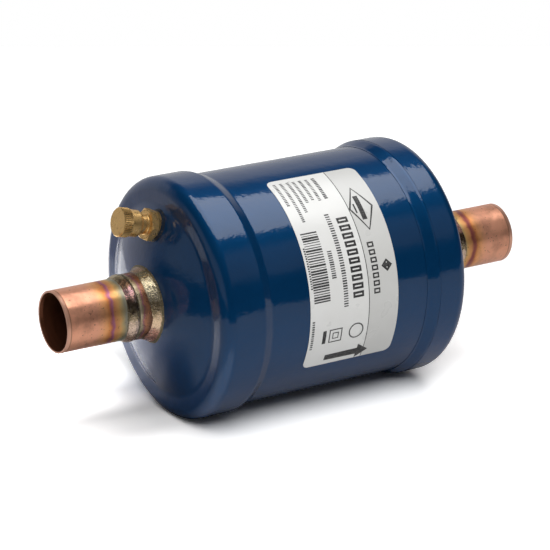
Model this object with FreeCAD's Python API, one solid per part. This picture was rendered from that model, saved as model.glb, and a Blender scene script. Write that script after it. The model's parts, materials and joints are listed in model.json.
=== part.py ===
"""Suction line filter drier: a painted steel shell with a copper socket at each end,
a brass access valve on the inlet dome and a moulded desiccant core inside.

Frame: the flow runs along +X, from the inlet socket to the outlet socket, +Z is up,
and the origin is on the axis, midway between the two sockets. Millimetres."""
import FreeCAD, Part
import math
import os
from FreeCAD import Vector

# Shell
BAND_R = 60.3            # outside of the end caps' skirts
CAP_WALL = 2.4
LAP_GAP = 0.1            # radial room between a skirt and the shell body inside it
BODY_WALL = 2.0
BODY_END_GAP = 3.6       # from the shell body's ends to where the skirts turn in
KNUCKLE_X = 63.6         # plane where the skirt turns into the knuckle
KNUCKLE_R = 6.5
RIM_FLAT = 4.5           # flat ring beside the knuckle
HOLLOW_R = 7.0           # hollow between the flat ring and the dome
DOME_EDGE_DEG = 26.0     # slope of the dome where the hollow begins
INLET_LAP_X = 49.0       # skirt edges, measured outward from the middle
OUTLET_LAP_X = 53.0
WELD_RUN = 5.0           # length of the S-shaped lap weld
WELD_TOE = 0.2
WELD_GAP = 0.05          # radial room under the weld

# Copper line sockets, 1-1/8 in
SOCKET_R = 14.35
SOCKET_DEPTH = 22.5
STUB_WALL = 0.9
STUB_THROAT_WALL = 1.9   # behind the tube stop
STUB_END_X = 130.3
STUB_INNER_X = 74.0
STUB_LIP = 0.3
BRAZE_GAP = 0.1
COLLAR_WALL = 1.0
COLLAR_INNER_X = 70.0
COLLAR_END_X = 91.5
COLLAR_BRAZE_RUN = 2.45  # out along the dome
COLLAR_BRAZE_RISE = 6.0
COLLAR_BRAZE_BULGE = 0.55
STUB_BRAZE_LAP = 0.6     # how far the bead lies on the collar
STUB_BRAZE_RUN = 7.3     # and how far along the stub
STUB_BRAZE_HEIGHT = 0.5  # above the collar

# Label
LABEL_X0 = -21.8
LABEL_X1 = 29.0
LABEL_TOP_DEG = 74.0     # from -Y towards +Z
LABEL_BOTTOM_DEG = -30.5
LABEL_THICK = 0.15
LABEL_GLUE = 0.05
LABEL_CORNER_R = 3.5
LABEL_KNIFE = 20.0       # reach of the cutting blocks on both sides of the sheet

# Access valve: heights are along its own axis, from the dome
VALVE_INSET = 21.37      # from the skirts' outside in to its foot
VALVE_TILT_DEG = 14.18
VALVE_STEM_R = 3.95
VALVE_STEM_BELOW = 7.0
VALVE_BOSS_R = 6.9
VALVE_BOSS = 1.9
VALVE_BOSS_BELOW = 2.0   # the boss is cut to the dome's curve
VALVE_BRAZE_RUN = 1.3
VALVE_BRAZE_RISE = 1.2
VALVE_BRAZE_INSET = 0.4  # the fillet's top, inside the boss's outline
HEX_FLATS = 14.3
HEX_THICK = 3.8
HEX_CHAMFER_DEG = 30.0
NECK_R = 4.75
NECK_LENGTH = 5.2
NECK_FILLET = 0.7
NIPPLE_R = 5.3           # 7/16 in flare thread, drawn plain
NIPPLE_LENGTH = 8.4
NOSE_R = 3.4
PASSAGE_R = 1.9
CORE_R = 2.6
CORE_SIDE_GAP = 0.1
CORE_BELOW_NOSE = 1.4
CORE_LENGTH = 7.1
CORE_BORE_BELOW = 3.5    # room under the core for the seat seal's travel
CORE_CAVITY_R = 1.5
CORE_FLOOR = 1.3
CORE_GASKET_DEPTH = 0.5
CORE_GASKET_WIDTH = 1.6
CORE_GASKET_UP = 0.9
PIN_R = 0.5
PIN_RUNNING_GAP = 0.06
PIN_BELOW_NOSE = 0.8
PIN_SHOULDER_R = 1.25
PIN_SHOULDER = 0.5
PIN_HEAD_R = 1.6
PIN_HEAD = 0.8
SEAT_SEAL_THICK = 0.6
SEAT_GAP = 0.03
CORE_SPRING_WIRE = 0.3
CORE_SPRING_TURNS = 5.0
CORE_SPRING_R = 1.05
CORE_SPRING_LENGTH = 3.9
SPRING_END_GAP = 0.04
WIRE_SIDES = 8           # of both springs: round wire is drawn with eight flats

# Valve cap
CAP_MOUTH_UP = 4.2       # from the hexagon's front to the cap's mouth
VALVE_CAP_LENGTH = 11.0
VALVE_CAP_END = 0.8
THREAD_GAP = 0.3
BARREL_R = 6.6
KNURL_R = 7.15
KNURL_DEPTH = 0.35
KNURL_LENGTH = 4.4
KNURL_TEETH = 44
CAP_EDGE = 0.5
CAP_SHOULDER = 1.2
CAP_SEAL_THICK = 0.7
CAP_SEAL_GAP = 0.05

# Inside
CORE_BLOCK_R = 46.0
CORE_BLOCK_X0 = -38.0
CORE_BLOCK_X1 = 46.0
FLUTES = 12
FLUTE_R = 3.2
FLUTE_DEPTH = 2.2
FELT = 2.0
TUBE_R = 14.0
TUBE_WALL = 0.8
SLEEVE_WALL = 2.8
SEAT_CLEARANCE = 0.1
HOLE_R = 2.2
HOLES_AROUND = 8
HOLE_PITCH = 9.0
TUBE_MARGIN = 8.0        # plain tube at each end of the block
PLATE = 1.2
TAB_COUNT = 3
TAB_WIDTH = 14.0
SHELL_CLEARANCE = 0.3
SPRING_R = 24.0
SPRING_WIRE = 2.6
SPRING_TURNS = 3.5
SPRING_LIP = 2.0

BODY_R = BAND_R - CAP_WALL - LAP_GAP
BODY_BORE_R = BODY_R - BODY_WALL
BODY_HALF = KNUCKLE_X - BODY_END_GAP
STUB_R = SOCKET_R + STUB_WALL
COLLAR_BORE_R = STUB_R + BRAZE_GAP
COLLAR_R = COLLAR_BORE_R + COLLAR_WALL
DOME_HOLE_R = COLLAR_R + BRAZE_GAP
COLLAR_BRAZE_R = COLLAR_R + COLLAR_BRAZE_RUN

KNUCKLE_AXIS_R = BAND_R - KNUCKLE_R
HOLLOW_AXIS_R = KNUCKLE_AXIS_R - RIM_FLAT
HOLLOW_AXIS_X = KNUCKLE_X + KNUCKLE_R + HOLLOW_R
DOME_EDGE = math.radians(DOME_EDGE_DEG)
DOME_EDGE_R = HOLLOW_AXIS_R - HOLLOW_R * math.sin(DOME_EDGE)
DOME_R = DOME_EDGE_R / math.sin(DOME_EDGE)
DOME_CENTRE_X = HOLLOW_AXIS_X - (HOLLOW_R + DOME_R) * math.cos(DOME_EDGE)
VALVE_RADIUS = BAND_R - VALVE_INSET

HEX_FRONT = VALVE_BOSS + HEX_THICK
NIPPLE_START = HEX_FRONT + NECK_LENGTH
NOSE = NIPPLE_START + NIPPLE_LENGTH
CORE_TOP = NOSE - CORE_BELOW_NOSE
CORE_FOOT = CORE_TOP - CORE_LENGTH
SPRING_FOOT = CORE_FOOT + CORE_FLOOR + SPRING_END_GAP
SHOULDER_FOOT = SPRING_FOOT + CORE_SPRING_LENGTH + SPRING_END_GAP
CAP_MOUTH = HEX_FRONT + CAP_MOUTH_UP
CAP_TOP = CAP_MOUTH + VALVE_CAP_LENGTH
CAP_BORE_R = NIPPLE_R + THREAD_GAP
CAP_SEAL_FOOT = NOSE + CAP_SEAL_GAP

SLEEVE_BORE_R = TUBE_R + SEAT_CLEARANCE
SLEEVE_R = SLEEVE_BORE_R + SLEEVE_WALL
CORE_BLOCK_BORE_R = SLEEVE_R + SEAT_CLEARANCE
RETAINER_X0 = CORE_BLOCK_X0 - FELT - PLATE
OUTLET_PLATE_X0 = CORE_BLOCK_X1 + FELT
TUBE_X0 = CORE_BLOCK_X0 - FELT
TUBE_X1 = OUTLET_PLATE_X0 + PLATE

X_AXIS = Vector(1, 0, 0)
Y_AXIS = Vector(0, 1, 0)
ORIGIN = Vector(0, 0, 0)
SAME_POINT = 1e-6


def at(x, r):
    """A point of a profile: x along the axis, r out from it."""
    return Vector(x, r, 0)


def polar(x, r, radius, degrees):
    """The profile point at an angle, from the axis direction, on a circle about (x, r)."""
    angle = math.radians(degrees)
    return x + radius * math.cos(angle), r + radius * math.sin(angle)


def profile_face(start, steps):
    """A closed face. A step is (x, r) for a line, or a middle and an end point for an arc."""
    edges = []
    here = at(*start)
    for step in steps:
        if isinstance(step[0], tuple):
            middle, end = at(*step[0]), at(*step[1])
            edges.append(Part.Arc(here, middle, end).toShape())
        else:
            end = at(*step)
            edges.append(Part.LineSegment(here, end).toShape())
        here = end
    if not here.isEqual(at(*start), SAME_POINT):
        edges.append(Part.LineSegment(here, at(*start)).toShape())
    return Part.Face(Part.Wire(edges))


def turned(start, *steps):
    """The profile turned once about the X axis."""
    return profile_face(start, steps).revolve(ORIGIN, X_AXIS, 360)


def tube(x0, x1, outer, inner):
    return turned((x0, inner), (x0, outer), (x1, outer), (x1, inner))


def rod(x0, x1, radius):
    return Part.makeCylinder(radius, x1 - x0, Vector(x0, 0, 0), X_AXIS)


def at_inlet(shape):
    """An end piece is drawn at the outlet end; half a turn takes it to the inlet end."""
    turned_round = shape.copy()
    turned_round.rotate(ORIGIN, Vector(0, 0, 1), 180)
    return turned_round


def dome_x(r, inset=0.0):
    """Where the dome's face lies at a distance r from the axis."""
    return DOME_CENTRE_X + math.sqrt((DOME_R - inset) ** 2 - r ** 2)


def on_dome(shape, tilt_deg):
    """Stands a piece drawn along +X on the inlet dome, where the valve's axis meets it."""
    seated = shape.copy()
    seated.rotate(ORIGIN, Y_AXIS, 180 + tilt_deg)
    seated.translate(Vector(-dome_x(VALVE_RADIUS), 0, VALVE_RADIUS))
    return seated


def on_valve(shape):
    """A valve piece is drawn along +X from the dome; this gives it the valve's tilt."""
    return on_dome(shape, VALVE_TILT_DEG)


def dome_ball():
    """The ball whose skin is the inlet dome's outside."""
    return Part.makeSphere(DOME_R, Vector(-DOME_CENTRE_X, 0, 0))


def shell_body():
    return tube(-BODY_HALF, BODY_HALF, BODY_R, BODY_BORE_R)


def end_cap(lap_x):
    """Drawn cap: skirt, knuckle, flat ring, hollow and spherical dome with the collar's hole."""
    skirt_bore = BAND_R - CAP_WALL
    inner_knuckle = KNUCKLE_R - CAP_WALL
    outer_hollow = HOLLOW_R + CAP_WALL
    rim_x = KNUCKLE_X + KNUCKLE_R
    hollow = (HOLLOW_AXIS_X, HOLLOW_AXIS_R)
    hollow_deg = 180 + DOME_EDGE_DEG
    halfway_deg = 180 + DOME_EDGE_DEG / 2
    middle_r = (DOME_EDGE_R + DOME_HOLE_R) / 2
    return turned(
        (lap_x, skirt_bore), (lap_x, BAND_R), (KNUCKLE_X, BAND_R),
        (polar(KNUCKLE_X, KNUCKLE_AXIS_R, KNUCKLE_R, 45), (rim_x, KNUCKLE_AXIS_R)),
        (rim_x, HOLLOW_AXIS_R),
        (polar(*hollow, HOLLOW_R, halfway_deg), polar(*hollow, HOLLOW_R, hollow_deg)),
        ((dome_x(middle_r), middle_r), (dome_x(DOME_HOLE_R), DOME_HOLE_R)),
        (dome_x(DOME_HOLE_R, CAP_WALL), DOME_HOLE_R),
        ((dome_x(middle_r, CAP_WALL), middle_r), polar(*hollow, outer_hollow, hollow_deg)),
        (polar(*hollow, outer_hollow, halfway_deg), (rim_x - CAP_WALL, HOLLOW_AXIS_R)),
        (rim_x - CAP_WALL, KNUCKLE_AXIS_R),
        (polar(KNUCKLE_X, KNUCKLE_AXIS_R, inner_knuckle, 45), (KNUCKLE_X, skirt_bore)))


def inlet_end_cap():
    """The inlet cap also has the hole that the access valve's stem stands in."""
    stem_hole = on_valve(rod(-VALVE_STEM_BELOW, VALVE_BOSS, VALVE_STEM_R + BRAZE_GAP))
    return at_inlet(end_cap(INLET_LAP_X)).cut(stem_hole)


def seam_weld(lap_x):
    """The painted lap weld: two equal arcs run from the shell body up to the skirt."""
    foot_x = lap_x - WELD_RUN
    toe_r = BODY_R + WELD_TOE
    rise = BAND_R - toe_r
    arc_r = (WELD_RUN ** 2 + rise ** 2) / (4 * rise)
    half_deg = math.degrees(math.asin(WELD_RUN / 2 / arc_r)) / 2
    halfway = (foot_x + WELD_RUN / 2, toe_r + rise / 2)
    hollow = polar(foot_x, toe_r + arc_r, arc_r, -90 + half_deg)
    crown = polar(lap_x, BAND_R - arc_r, arc_r, 90 + half_deg)
    bore_r = BODY_R + WELD_GAP
    return turned((foot_x, bore_r), (foot_x, toe_r), (hollow, halfway),
                  (crown, (lap_x, BAND_R)), (lap_x, bore_r))


def collar():
    """Copper-plated sleeve through the dome, which carries the stub."""
    return tube(COLLAR_INNER_X, COLLAR_END_X, COLLAR_R, COLLAR_BORE_R)


def stub():
    """Copper stub with the line socket, its stop and a softened lip."""
    stop_x = STUB_END_X - SOCKET_DEPTH
    throat_r = STUB_R - STUB_THROAT_WALL
    return turned(
        (STUB_INNER_X, throat_r), (STUB_INNER_X, STUB_R),
        (STUB_END_X - STUB_LIP, STUB_R),
        (polar(STUB_END_X - STUB_LIP, STUB_R - STUB_LIP, STUB_LIP, 45),
         (STUB_END_X, STUB_R - STUB_LIP)),
        (STUB_END_X, SOCKET_R + STUB_LIP), (STUB_END_X - STUB_LIP, SOCKET_R),
        (stop_x, SOCKET_R), (stop_x, throat_r))


def collar_braze():
    """Fillet of braze between the dome and the collar."""
    top_x = dome_x(COLLAR_R) + COLLAR_BRAZE_RISE
    middle_r = (COLLAR_R + COLLAR_BRAZE_R) / 2
    return turned(
        (dome_x(COLLAR_R), COLLAR_R), (top_x, COLLAR_R),
        ((dome_x(middle_r) + COLLAR_BRAZE_BULGE * COLLAR_BRAZE_RISE, middle_r),
         (dome_x(COLLAR_BRAZE_R), COLLAR_BRAZE_R)),
        ((dome_x(middle_r), middle_r), (dome_x(COLLAR_R), COLLAR_R)))


def stub_braze():
    """Bead of braze over the end of the collar and along the stub."""
    crown = (COLLAR_END_X + STUB_BRAZE_RUN / 2, COLLAR_R + STUB_BRAZE_HEIGHT)
    return turned(
        (COLLAR_END_X, STUB_R), (COLLAR_END_X, COLLAR_R),
        (COLLAR_END_X - STUB_BRAZE_LAP, COLLAR_R),
        (crown, (COLLAR_END_X + STUB_BRAZE_RUN, STUB_R)))


def label():
    """A thin sheet that follows the shell body, with rounded corners."""
    inner = BODY_R + LABEL_GLUE
    outer = inner + LABEL_THICK
    sheet = tube(LABEL_X0, LABEL_X1, outer, inner)
    middle_deg = (LABEL_TOP_DEG + LABEL_BOTTOM_DEG) / 2
    half_deg = (LABEL_TOP_DEG - LABEL_BOTTOM_DEG) / 2
    reach = outer + LABEL_KNIFE
    side = Part.makePolygon([
        ORIGIN, on_side(0, reach, middle_deg - half_deg), on_side(0, reach, middle_deg),
        on_side(0, reach, middle_deg + half_deg), ORIGIN])
    wedge = Part.Face(side).extrude(Vector(LABEL_X1 - LABEL_X0, 0, 0))
    wedge.translate(Vector(LABEL_X0, 0, 0))
    sheet = sheet.common(wedge)
    corner_deg = math.degrees(LABEL_CORNER_R / BODY_R)
    for x, inward in ((LABEL_X0, 1), (LABEL_X1, -1)):
        for degrees, turn in ((LABEL_TOP_DEG, -1), (LABEL_BOTTOM_DEG, 1)):
            sheet = sheet.cut(label_corner(x, inward, degrees, turn * corner_deg))
    return sheet


def on_side(x, r, degrees):
    """A point at an angle from -Y towards +Z about the X axis."""
    angle = math.radians(degrees)
    return Vector(x, -r * math.cos(angle), r * math.sin(angle))


def label_corner(x, inward, degrees, turn):
    """What rounding takes off one corner: a square block less a round post."""
    size = 2 * LABEL_CORNER_R
    post_x = x + inward * LABEL_CORNER_R
    block_x = post_x - size if inward > 0 else post_x
    block_z = -size if turn > 0 else 0
    near_y = -BODY_R - LABEL_KNIFE
    depth = 2 * LABEL_KNIFE
    block = Part.makeBox(size, depth, size, Vector(block_x, near_y, block_z))
    post = Part.makeCylinder(LABEL_CORNER_R, depth, Vector(post_x, near_y, 0), Y_AXIS)
    corner = block.cut(post)
    corner.rotate(ORIGIN, X_AXIS, -(degrees + turn))
    return corner


def access_valve_body():
    """Brass fitting: stem, boss, hexagon, neck and the threaded nipple with its nose."""
    bore_r = CORE_R + CORE_SIDE_GAP
    bore_foot = CORE_FOOT - CORE_BORE_BELOW
    nose_back = NOSE - (NIPPLE_R - NOSE_R)
    shaft = turned(
        (-VALVE_STEM_BELOW, PASSAGE_R), (-VALVE_STEM_BELOW, VALVE_STEM_R),
        (VALVE_BOSS, VALVE_STEM_R), (VALVE_BOSS, VALVE_BOSS_R),
        (HEX_FRONT, VALVE_BOSS_R), (HEX_FRONT, NECK_R + NECK_FILLET),
        (polar(HEX_FRONT + NECK_FILLET, NECK_R + NECK_FILLET, NECK_FILLET, 225),
         (HEX_FRONT + NECK_FILLET, NECK_R)),
        (NIPPLE_START, NECK_R), (NIPPLE_START + NIPPLE_R - NECK_R, NIPPLE_R),
        (nose_back, NIPPLE_R), (NOSE, NOSE_R), (NOSE, bore_r),
        (bore_foot, bore_r), (bore_foot, PASSAGE_R))
    hexagon = hexagon_prism(VALVE_BOSS, HEX_FRONT, HEX_FLATS)
    hexagon = hexagon.cut(rod(VALVE_BOSS, HEX_FRONT, VALVE_STEM_R))
    boss = tube(-VALVE_BOSS_BELOW, VALVE_BOSS, VALVE_BOSS_R, (PASSAGE_R + VALVE_STEM_R) / 2)
    boss = on_valve(boss).cut(dome_ball())
    return on_valve(shaft.fuse(hexagon)).fuse(boss).removeSplitter()


def hexagon_prism(x0, x1, flats):
    """A hexagon bar end with both faces chamfered at the corners."""
    corner_r = flats / math.sqrt(3)
    corners = [Vector(x0, corner_r * math.cos(math.radians(60 * i)),
                      corner_r * math.sin(math.radians(60 * i))) for i in range(7)]
    prism = Part.Face(Part.makePolygon(corners)).extrude(Vector(x1 - x0, 0, 0))
    drop = (corner_r - flats / 2) * math.tan(math.radians(HEX_CHAMFER_DEG))
    rounding = turned((x0, 0), (x0, flats / 2), (x0 + drop, corner_r),
                      (x1 - drop, corner_r), (x1, flats / 2), (x1, 0))
    return prism.common(rounding)


def access_valve_braze():
    """Fillet of braze round the boss; its own axis stands square on the dome."""
    foot_r = VALVE_BOSS_R + VALVE_BRAZE_RUN
    foot_x = math.sqrt(DOME_R ** 2 - foot_r ** 2) - DOME_R
    middle_x = math.sqrt(DOME_R ** 2 - (foot_r / 2) ** 2) - DOME_R
    square_on_deg = math.degrees(math.asin(VALVE_RADIUS / DOME_R))
    top_r = VALVE_BOSS_R - VALVE_BRAZE_INSET
    pad = turned((0, 0), (VALVE_BRAZE_RISE, 0), (VALVE_BRAZE_RISE, top_r),
                 (foot_x, foot_r), ((middle_x, foot_r / 2), (0, 0)))
    boss = on_valve(rod(-VALVE_BOSS_BELOW, HEX_FRONT, VALVE_BOSS_R))
    return on_dome(pad, square_on_deg).cut(boss)


def valve_core_body():
    """Screwed-in core: a barrel with a spring cavity, a pin guide and a gasket groove."""
    groove_foot = CORE_FOOT + CORE_GASKET_UP
    groove_top = groove_foot + CORE_GASKET_WIDTH
    guide_r = PIN_R + PIN_RUNNING_GAP
    return on_valve(turned(
        (CORE_FOOT, guide_r), (CORE_FOOT, CORE_R), (groove_foot, CORE_R),
        (groove_foot, CORE_R - CORE_GASKET_DEPTH), (groove_top, CORE_R - CORE_GASKET_DEPTH),
        (groove_top, CORE_R), (CORE_TOP, CORE_R), (CORE_TOP, CORE_CAVITY_R),
        (CORE_FOOT + CORE_FLOOR, CORE_CAVITY_R), (CORE_FOOT + CORE_FLOOR, guide_r)))


def valve_core_gasket():
    foot = CORE_FOOT + CORE_GASKET_UP
    return on_valve(tube(foot, foot + CORE_GASKET_WIDTH, CORE_R, CORE_R - CORE_GASKET_DEPTH))


def valve_core_pin():
    """Pin with the shoulder that the spring lifts and the head that holds the seat seal."""
    head_top = CORE_FOOT - SEAT_GAP - SEAT_SEAL_THICK
    tip = NOSE - PIN_BELOW_NOSE
    return on_valve(turned(
        (head_top - PIN_HEAD, 0), (head_top - PIN_HEAD, PIN_HEAD_R), (head_top, PIN_HEAD_R),
        (head_top, PIN_R), (SHOULDER_FOOT, PIN_R), (SHOULDER_FOOT, PIN_SHOULDER_R),
        (SHOULDER_FOOT + PIN_SHOULDER, PIN_SHOULDER_R), (SHOULDER_FOOT + PIN_SHOULDER, PIN_R),
        (tip - PIN_R / 2, PIN_R), (tip, PIN_R / 2), (tip, 0)))


def valve_core_seat_seal():
    top = CORE_FOOT - SEAT_GAP
    return on_valve(tube(top - SEAT_SEAL_THICK, top, PIN_HEAD_R, PIN_R))


def coil(x0, length, radius, wire, turns):
    """Wire wound about the X axis, its outside between x0 and x0 + length."""
    height = length - wire
    helix = Part.makeHelix(height / turns, height, radius)
    corners = []
    for i in range(WIRE_SIDES + 1):
        x, z = polar(radius, 0, wire / 2, 360 / WIRE_SIDES * i)
        corners.append(Vector(x, 0, z))
    section = Part.makePolygon(corners)
    spring = Part.Wire(helix.Edges).makePipeShell([section], True, True)
    spring.rotate(ORIGIN, Y_AXIS, 90)
    spring.translate(Vector(x0 + wire / 2, 0, 0))
    return spring


def valve_core_spring():
    return on_valve(coil(SPRING_FOOT, CORE_SPRING_LENGTH, CORE_SPRING_R,
                         CORE_SPRING_WIRE, CORE_SPRING_TURNS))


def valve_cap():
    """Turned brass cap: plain barrel, shoulder at its mouth and a knurled band."""
    knurl_foot = CAP_TOP - CAP_EDGE - KNURL_LENGTH
    barrel = turned(
        (CAP_MOUTH, CAP_BORE_R + THREAD_GAP), (CAP_MOUTH, BARREL_R - CAP_SHOULDER / 2),
        (CAP_MOUTH + CAP_SHOULDER, BARREL_R), (CAP_TOP - CAP_EDGE, BARREL_R),
        (CAP_TOP - CAP_EDGE, KNURL_R), (CAP_TOP, KNURL_R - CAP_EDGE), (CAP_TOP, 0),
        (CAP_TOP - VALVE_CAP_END, 0), (CAP_TOP - VALVE_CAP_END, CAP_BORE_R),
        (CAP_MOUTH + THREAD_GAP, CAP_BORE_R))
    points = []
    for i in range(2 * KNURL_TEETH + 1):
        r = KNURL_R - KNURL_DEPTH * (i % 2)
        angle = math.pi * i / KNURL_TEETH
        points.append(Vector(knurl_foot, r * math.cos(angle), r * math.sin(angle)))
    knurl = Part.Face(Part.makePolygon(points)).extrude(Vector(KNURL_LENGTH, 0, 0))
    knurl = knurl.cut(rod(knurl_foot, CAP_TOP, (CAP_BORE_R + BARREL_R) / 2))
    return on_valve(barrel.fuse(knurl).removeSplitter())


def valve_cap_seal():
    return on_valve(rod(CAP_SEAL_FOOT, CAP_SEAL_FOOT + CAP_SEAL_THICK, NIPPLE_R))


def desiccant_core():
    """Moulded block with a bore and flutes along its outside."""
    block = tube(CORE_BLOCK_X0, CORE_BLOCK_X1, CORE_BLOCK_R, CORE_BLOCK_BORE_R)
    axis_r = CORE_BLOCK_R + FLUTE_R - FLUTE_DEPTH
    flutes = []
    for i in range(FLUTES):
        flute = rod(CORE_BLOCK_X0, CORE_BLOCK_X1, FLUTE_R)
        flute.translate(on_side(0, axis_r, 360 / FLUTES * i))
        flutes.append(flute)
    return block.cut(Part.makeCompound(flutes))


def filter_sleeve():
    return tube(CORE_BLOCK_X0, CORE_BLOCK_X1, SLEEVE_R, SLEEVE_BORE_R)


def perforated_tube():
    """Support tube with rings of holes, every second ring turned by half a pitch."""
    wall = tube(TUBE_X0, TUBE_X1, TUBE_R, TUBE_R - TUBE_WALL)
    holes = []
    span = CORE_BLOCK_X1 - CORE_BLOCK_X0 - 2 * TUBE_MARGIN
    rings = int(span / HOLE_PITCH) + 1
    first_x = (CORE_BLOCK_X0 + CORE_BLOCK_X1 - (rings - 1) * HOLE_PITCH) / 2
    step_deg = 360 / HOLES_AROUND
    for ring in range(rings):
        x = first_x + ring * HOLE_PITCH
        for i in range(HOLES_AROUND // 2):
            degrees = step_deg * (i + ring % 2 / 2)
            drill_start = on_side(x, -TUBE_R - HOLE_R, degrees)
            drill_run = 2 * (TUBE_R + HOLE_R)
            holes.append(Part.makeCylinder(HOLE_R, drill_run, drill_start,
                                           on_side(0, 1, degrees)))
    return wall.cut(Part.makeCompound(holes))


def felt_gasket(x0):
    return tube(x0, x0 + FELT, CORE_BLOCK_R, TUBE_R + SEAT_CLEARANCE)


def inlet_retainer_plate():
    """Blind plate with a lip inside the spring and three tabs out to the shell."""
    lip_r = SPRING_R - SPRING_WIRE / 2 - SHELL_CLEARANCE
    plate = turned((RETAINER_X0, 0), (RETAINER_X0, lip_r - PLATE),
                   (RETAINER_X0 - SPRING_LIP, lip_r - PLATE), (RETAINER_X0 - SPRING_LIP, lip_r),
                   (RETAINER_X0, lip_r), (RETAINER_X0, CORE_BLOCK_R),
                   (RETAINER_X0 + PLATE, CORE_BLOCK_R), (RETAINER_X0 + PLATE, 0))
    reach = rod(RETAINER_X0, RETAINER_X0 + PLATE, BODY_BORE_R - SHELL_CLEARANCE)
    for i in range(TAB_COUNT):
        tab = Part.makeBox(PLATE, BODY_R, TAB_WIDTH, Vector(RETAINER_X0, 0, -TAB_WIDTH / 2))
        tab.rotate(ORIGIN, X_AXIS, 90 + 360 / TAB_COUNT * i)
        plate = plate.fuse(tab.common(reach))
    return plate.removeSplitter()


def hold_down_spring():
    """Coil between the retainer plate and the inlet dome; it keeps the block on its felts."""
    outer_r = SPRING_R + SPRING_WIRE / 2
    dome_end = -dome_x(outer_r, CAP_WALL) + SPRING_END_GAP
    return coil(dome_end, RETAINER_X0 - dome_end, SPRING_R, SPRING_WIRE, SPRING_TURNS)


def outlet_support_plate():
    """Deep plate round the tube's end; its rim stands on the outlet cap's flat ring."""
    rim_r = KNUCKLE_AXIS_R
    rim_bore = rim_r - PLATE
    rim_end = KNUCKLE_X + KNUCKLE_R - CAP_WALL - SHELL_CLEARANCE
    bend_x = OUTLET_PLATE_X0 + PLATE
    return turned(
        (OUTLET_PLATE_X0, TUBE_R + SEAT_CLEARANCE), (OUTLET_PLATE_X0, rim_bore - PLATE),
        (polar(bend_x + PLATE, rim_bore - PLATE, 2 * PLATE, 135), (bend_x + PLATE, rim_r)),
        (rim_end, rim_r), (rim_end, rim_bore), (bend_x + PLATE, rim_bore),
        (polar(bend_x + PLATE, rim_bore - PLATE, PLATE, 135), (bend_x, rim_bore - PLATE)),
        (bend_x, TUBE_R + SEAT_CLEARANCE))


NODES = {
    "shell_body": shell_body(),
    "inlet_end_cap": inlet_end_cap(),
    "outlet_end_cap": end_cap(OUTLET_LAP_X),
    "inlet_seam_weld": at_inlet(seam_weld(INLET_LAP_X)),
    "outlet_seam_weld": seam_weld(OUTLET_LAP_X),
    "inlet_collar": at_inlet(collar()),
    "outlet_collar": collar(),
    "inlet_stub": at_inlet(stub()),
    "outlet_stub": stub(),
    "inlet_collar_braze": at_inlet(collar_braze()),
    "outlet_collar_braze": collar_braze(),
    "inlet_stub_braze": at_inlet(stub_braze()),
    "outlet_stub_braze": stub_braze(),
    "label": label(),
    "access_valve_body": access_valve_body(),
    "access_valve_braze": access_valve_braze(),
    "valve_core_body": valve_core_body(),
    "valve_core_gasket": valve_core_gasket(),
    "valve_core_pin": valve_core_pin(),
    "valve_core_seat_seal": valve_core_seat_seal(),
    "valve_core_spring": valve_core_spring(),
    "valve_cap": valve_cap(),
    "valve_cap_seal": valve_cap_seal(),
    "hold_down_spring": hold_down_spring(),
    "inlet_retainer_plate": inlet_retainer_plate(),
    "inlet_felt_gasket": felt_gasket(CORE_BLOCK_X0 - FELT),
    "desiccant_core": desiccant_core(),
    "filter_sleeve": filter_sleeve(),
    "perforated_tube": perforated_tube(),
    "outlet_felt_gasket": felt_gasket(CORE_BLOCK_X1),
    "outlet_support_plate": outlet_support_plate(),
}

os.makedirs("parts", exist_ok=True)
for name, shape in NODES.items():
    shape.exportStep("parts/" + name + ".step")
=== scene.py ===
"""Looks of a suction line filter drier: enamelled shell, heat-tinted copper, braze,
brass access valve, printed label and the pieces inside. Metres, in the model's own frame."""
from functools import partial
import json
import math

import bmesh
import bpy
from bpy.props import FloatProperty, FloatVectorProperty, IntProperty, PointerProperty
from mathutils import Matrix, Vector


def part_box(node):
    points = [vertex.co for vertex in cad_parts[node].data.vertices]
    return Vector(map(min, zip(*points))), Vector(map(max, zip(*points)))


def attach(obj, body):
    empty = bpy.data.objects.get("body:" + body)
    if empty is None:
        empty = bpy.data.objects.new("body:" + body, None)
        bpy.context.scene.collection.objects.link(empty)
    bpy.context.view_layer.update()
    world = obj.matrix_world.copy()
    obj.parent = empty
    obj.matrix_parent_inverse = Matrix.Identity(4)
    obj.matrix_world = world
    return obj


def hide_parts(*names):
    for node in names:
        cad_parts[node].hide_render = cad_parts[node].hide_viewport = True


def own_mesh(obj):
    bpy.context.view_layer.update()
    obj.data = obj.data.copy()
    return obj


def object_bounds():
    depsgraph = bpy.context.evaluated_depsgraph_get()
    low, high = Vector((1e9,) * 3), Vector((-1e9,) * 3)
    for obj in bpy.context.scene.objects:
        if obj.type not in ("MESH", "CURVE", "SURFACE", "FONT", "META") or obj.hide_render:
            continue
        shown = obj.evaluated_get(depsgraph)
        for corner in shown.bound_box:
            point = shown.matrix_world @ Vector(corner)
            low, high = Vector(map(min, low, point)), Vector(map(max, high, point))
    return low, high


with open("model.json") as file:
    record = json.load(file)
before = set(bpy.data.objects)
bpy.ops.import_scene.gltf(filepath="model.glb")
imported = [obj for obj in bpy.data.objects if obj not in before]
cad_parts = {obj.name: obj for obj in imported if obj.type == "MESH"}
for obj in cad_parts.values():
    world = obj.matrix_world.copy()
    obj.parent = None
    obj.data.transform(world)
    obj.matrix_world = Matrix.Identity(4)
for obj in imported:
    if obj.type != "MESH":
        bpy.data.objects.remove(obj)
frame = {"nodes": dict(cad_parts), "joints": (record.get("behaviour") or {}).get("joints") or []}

bl_info = {
    "name": "Filter Drier Looks",
    "version": (1, 0, 0),
    "blender": (4, 5, 0),
    "location": "View3D > Sidebar > Drier",
    "description": "Dresses a suction line filter drier and sets its studio",
    "category": "Object",
}

MM = 0.001
NODES = frame["nodes"]
CAD_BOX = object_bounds()
JOINTS = {joint["name"]: joint for joint in frame["joints"]}

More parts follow.
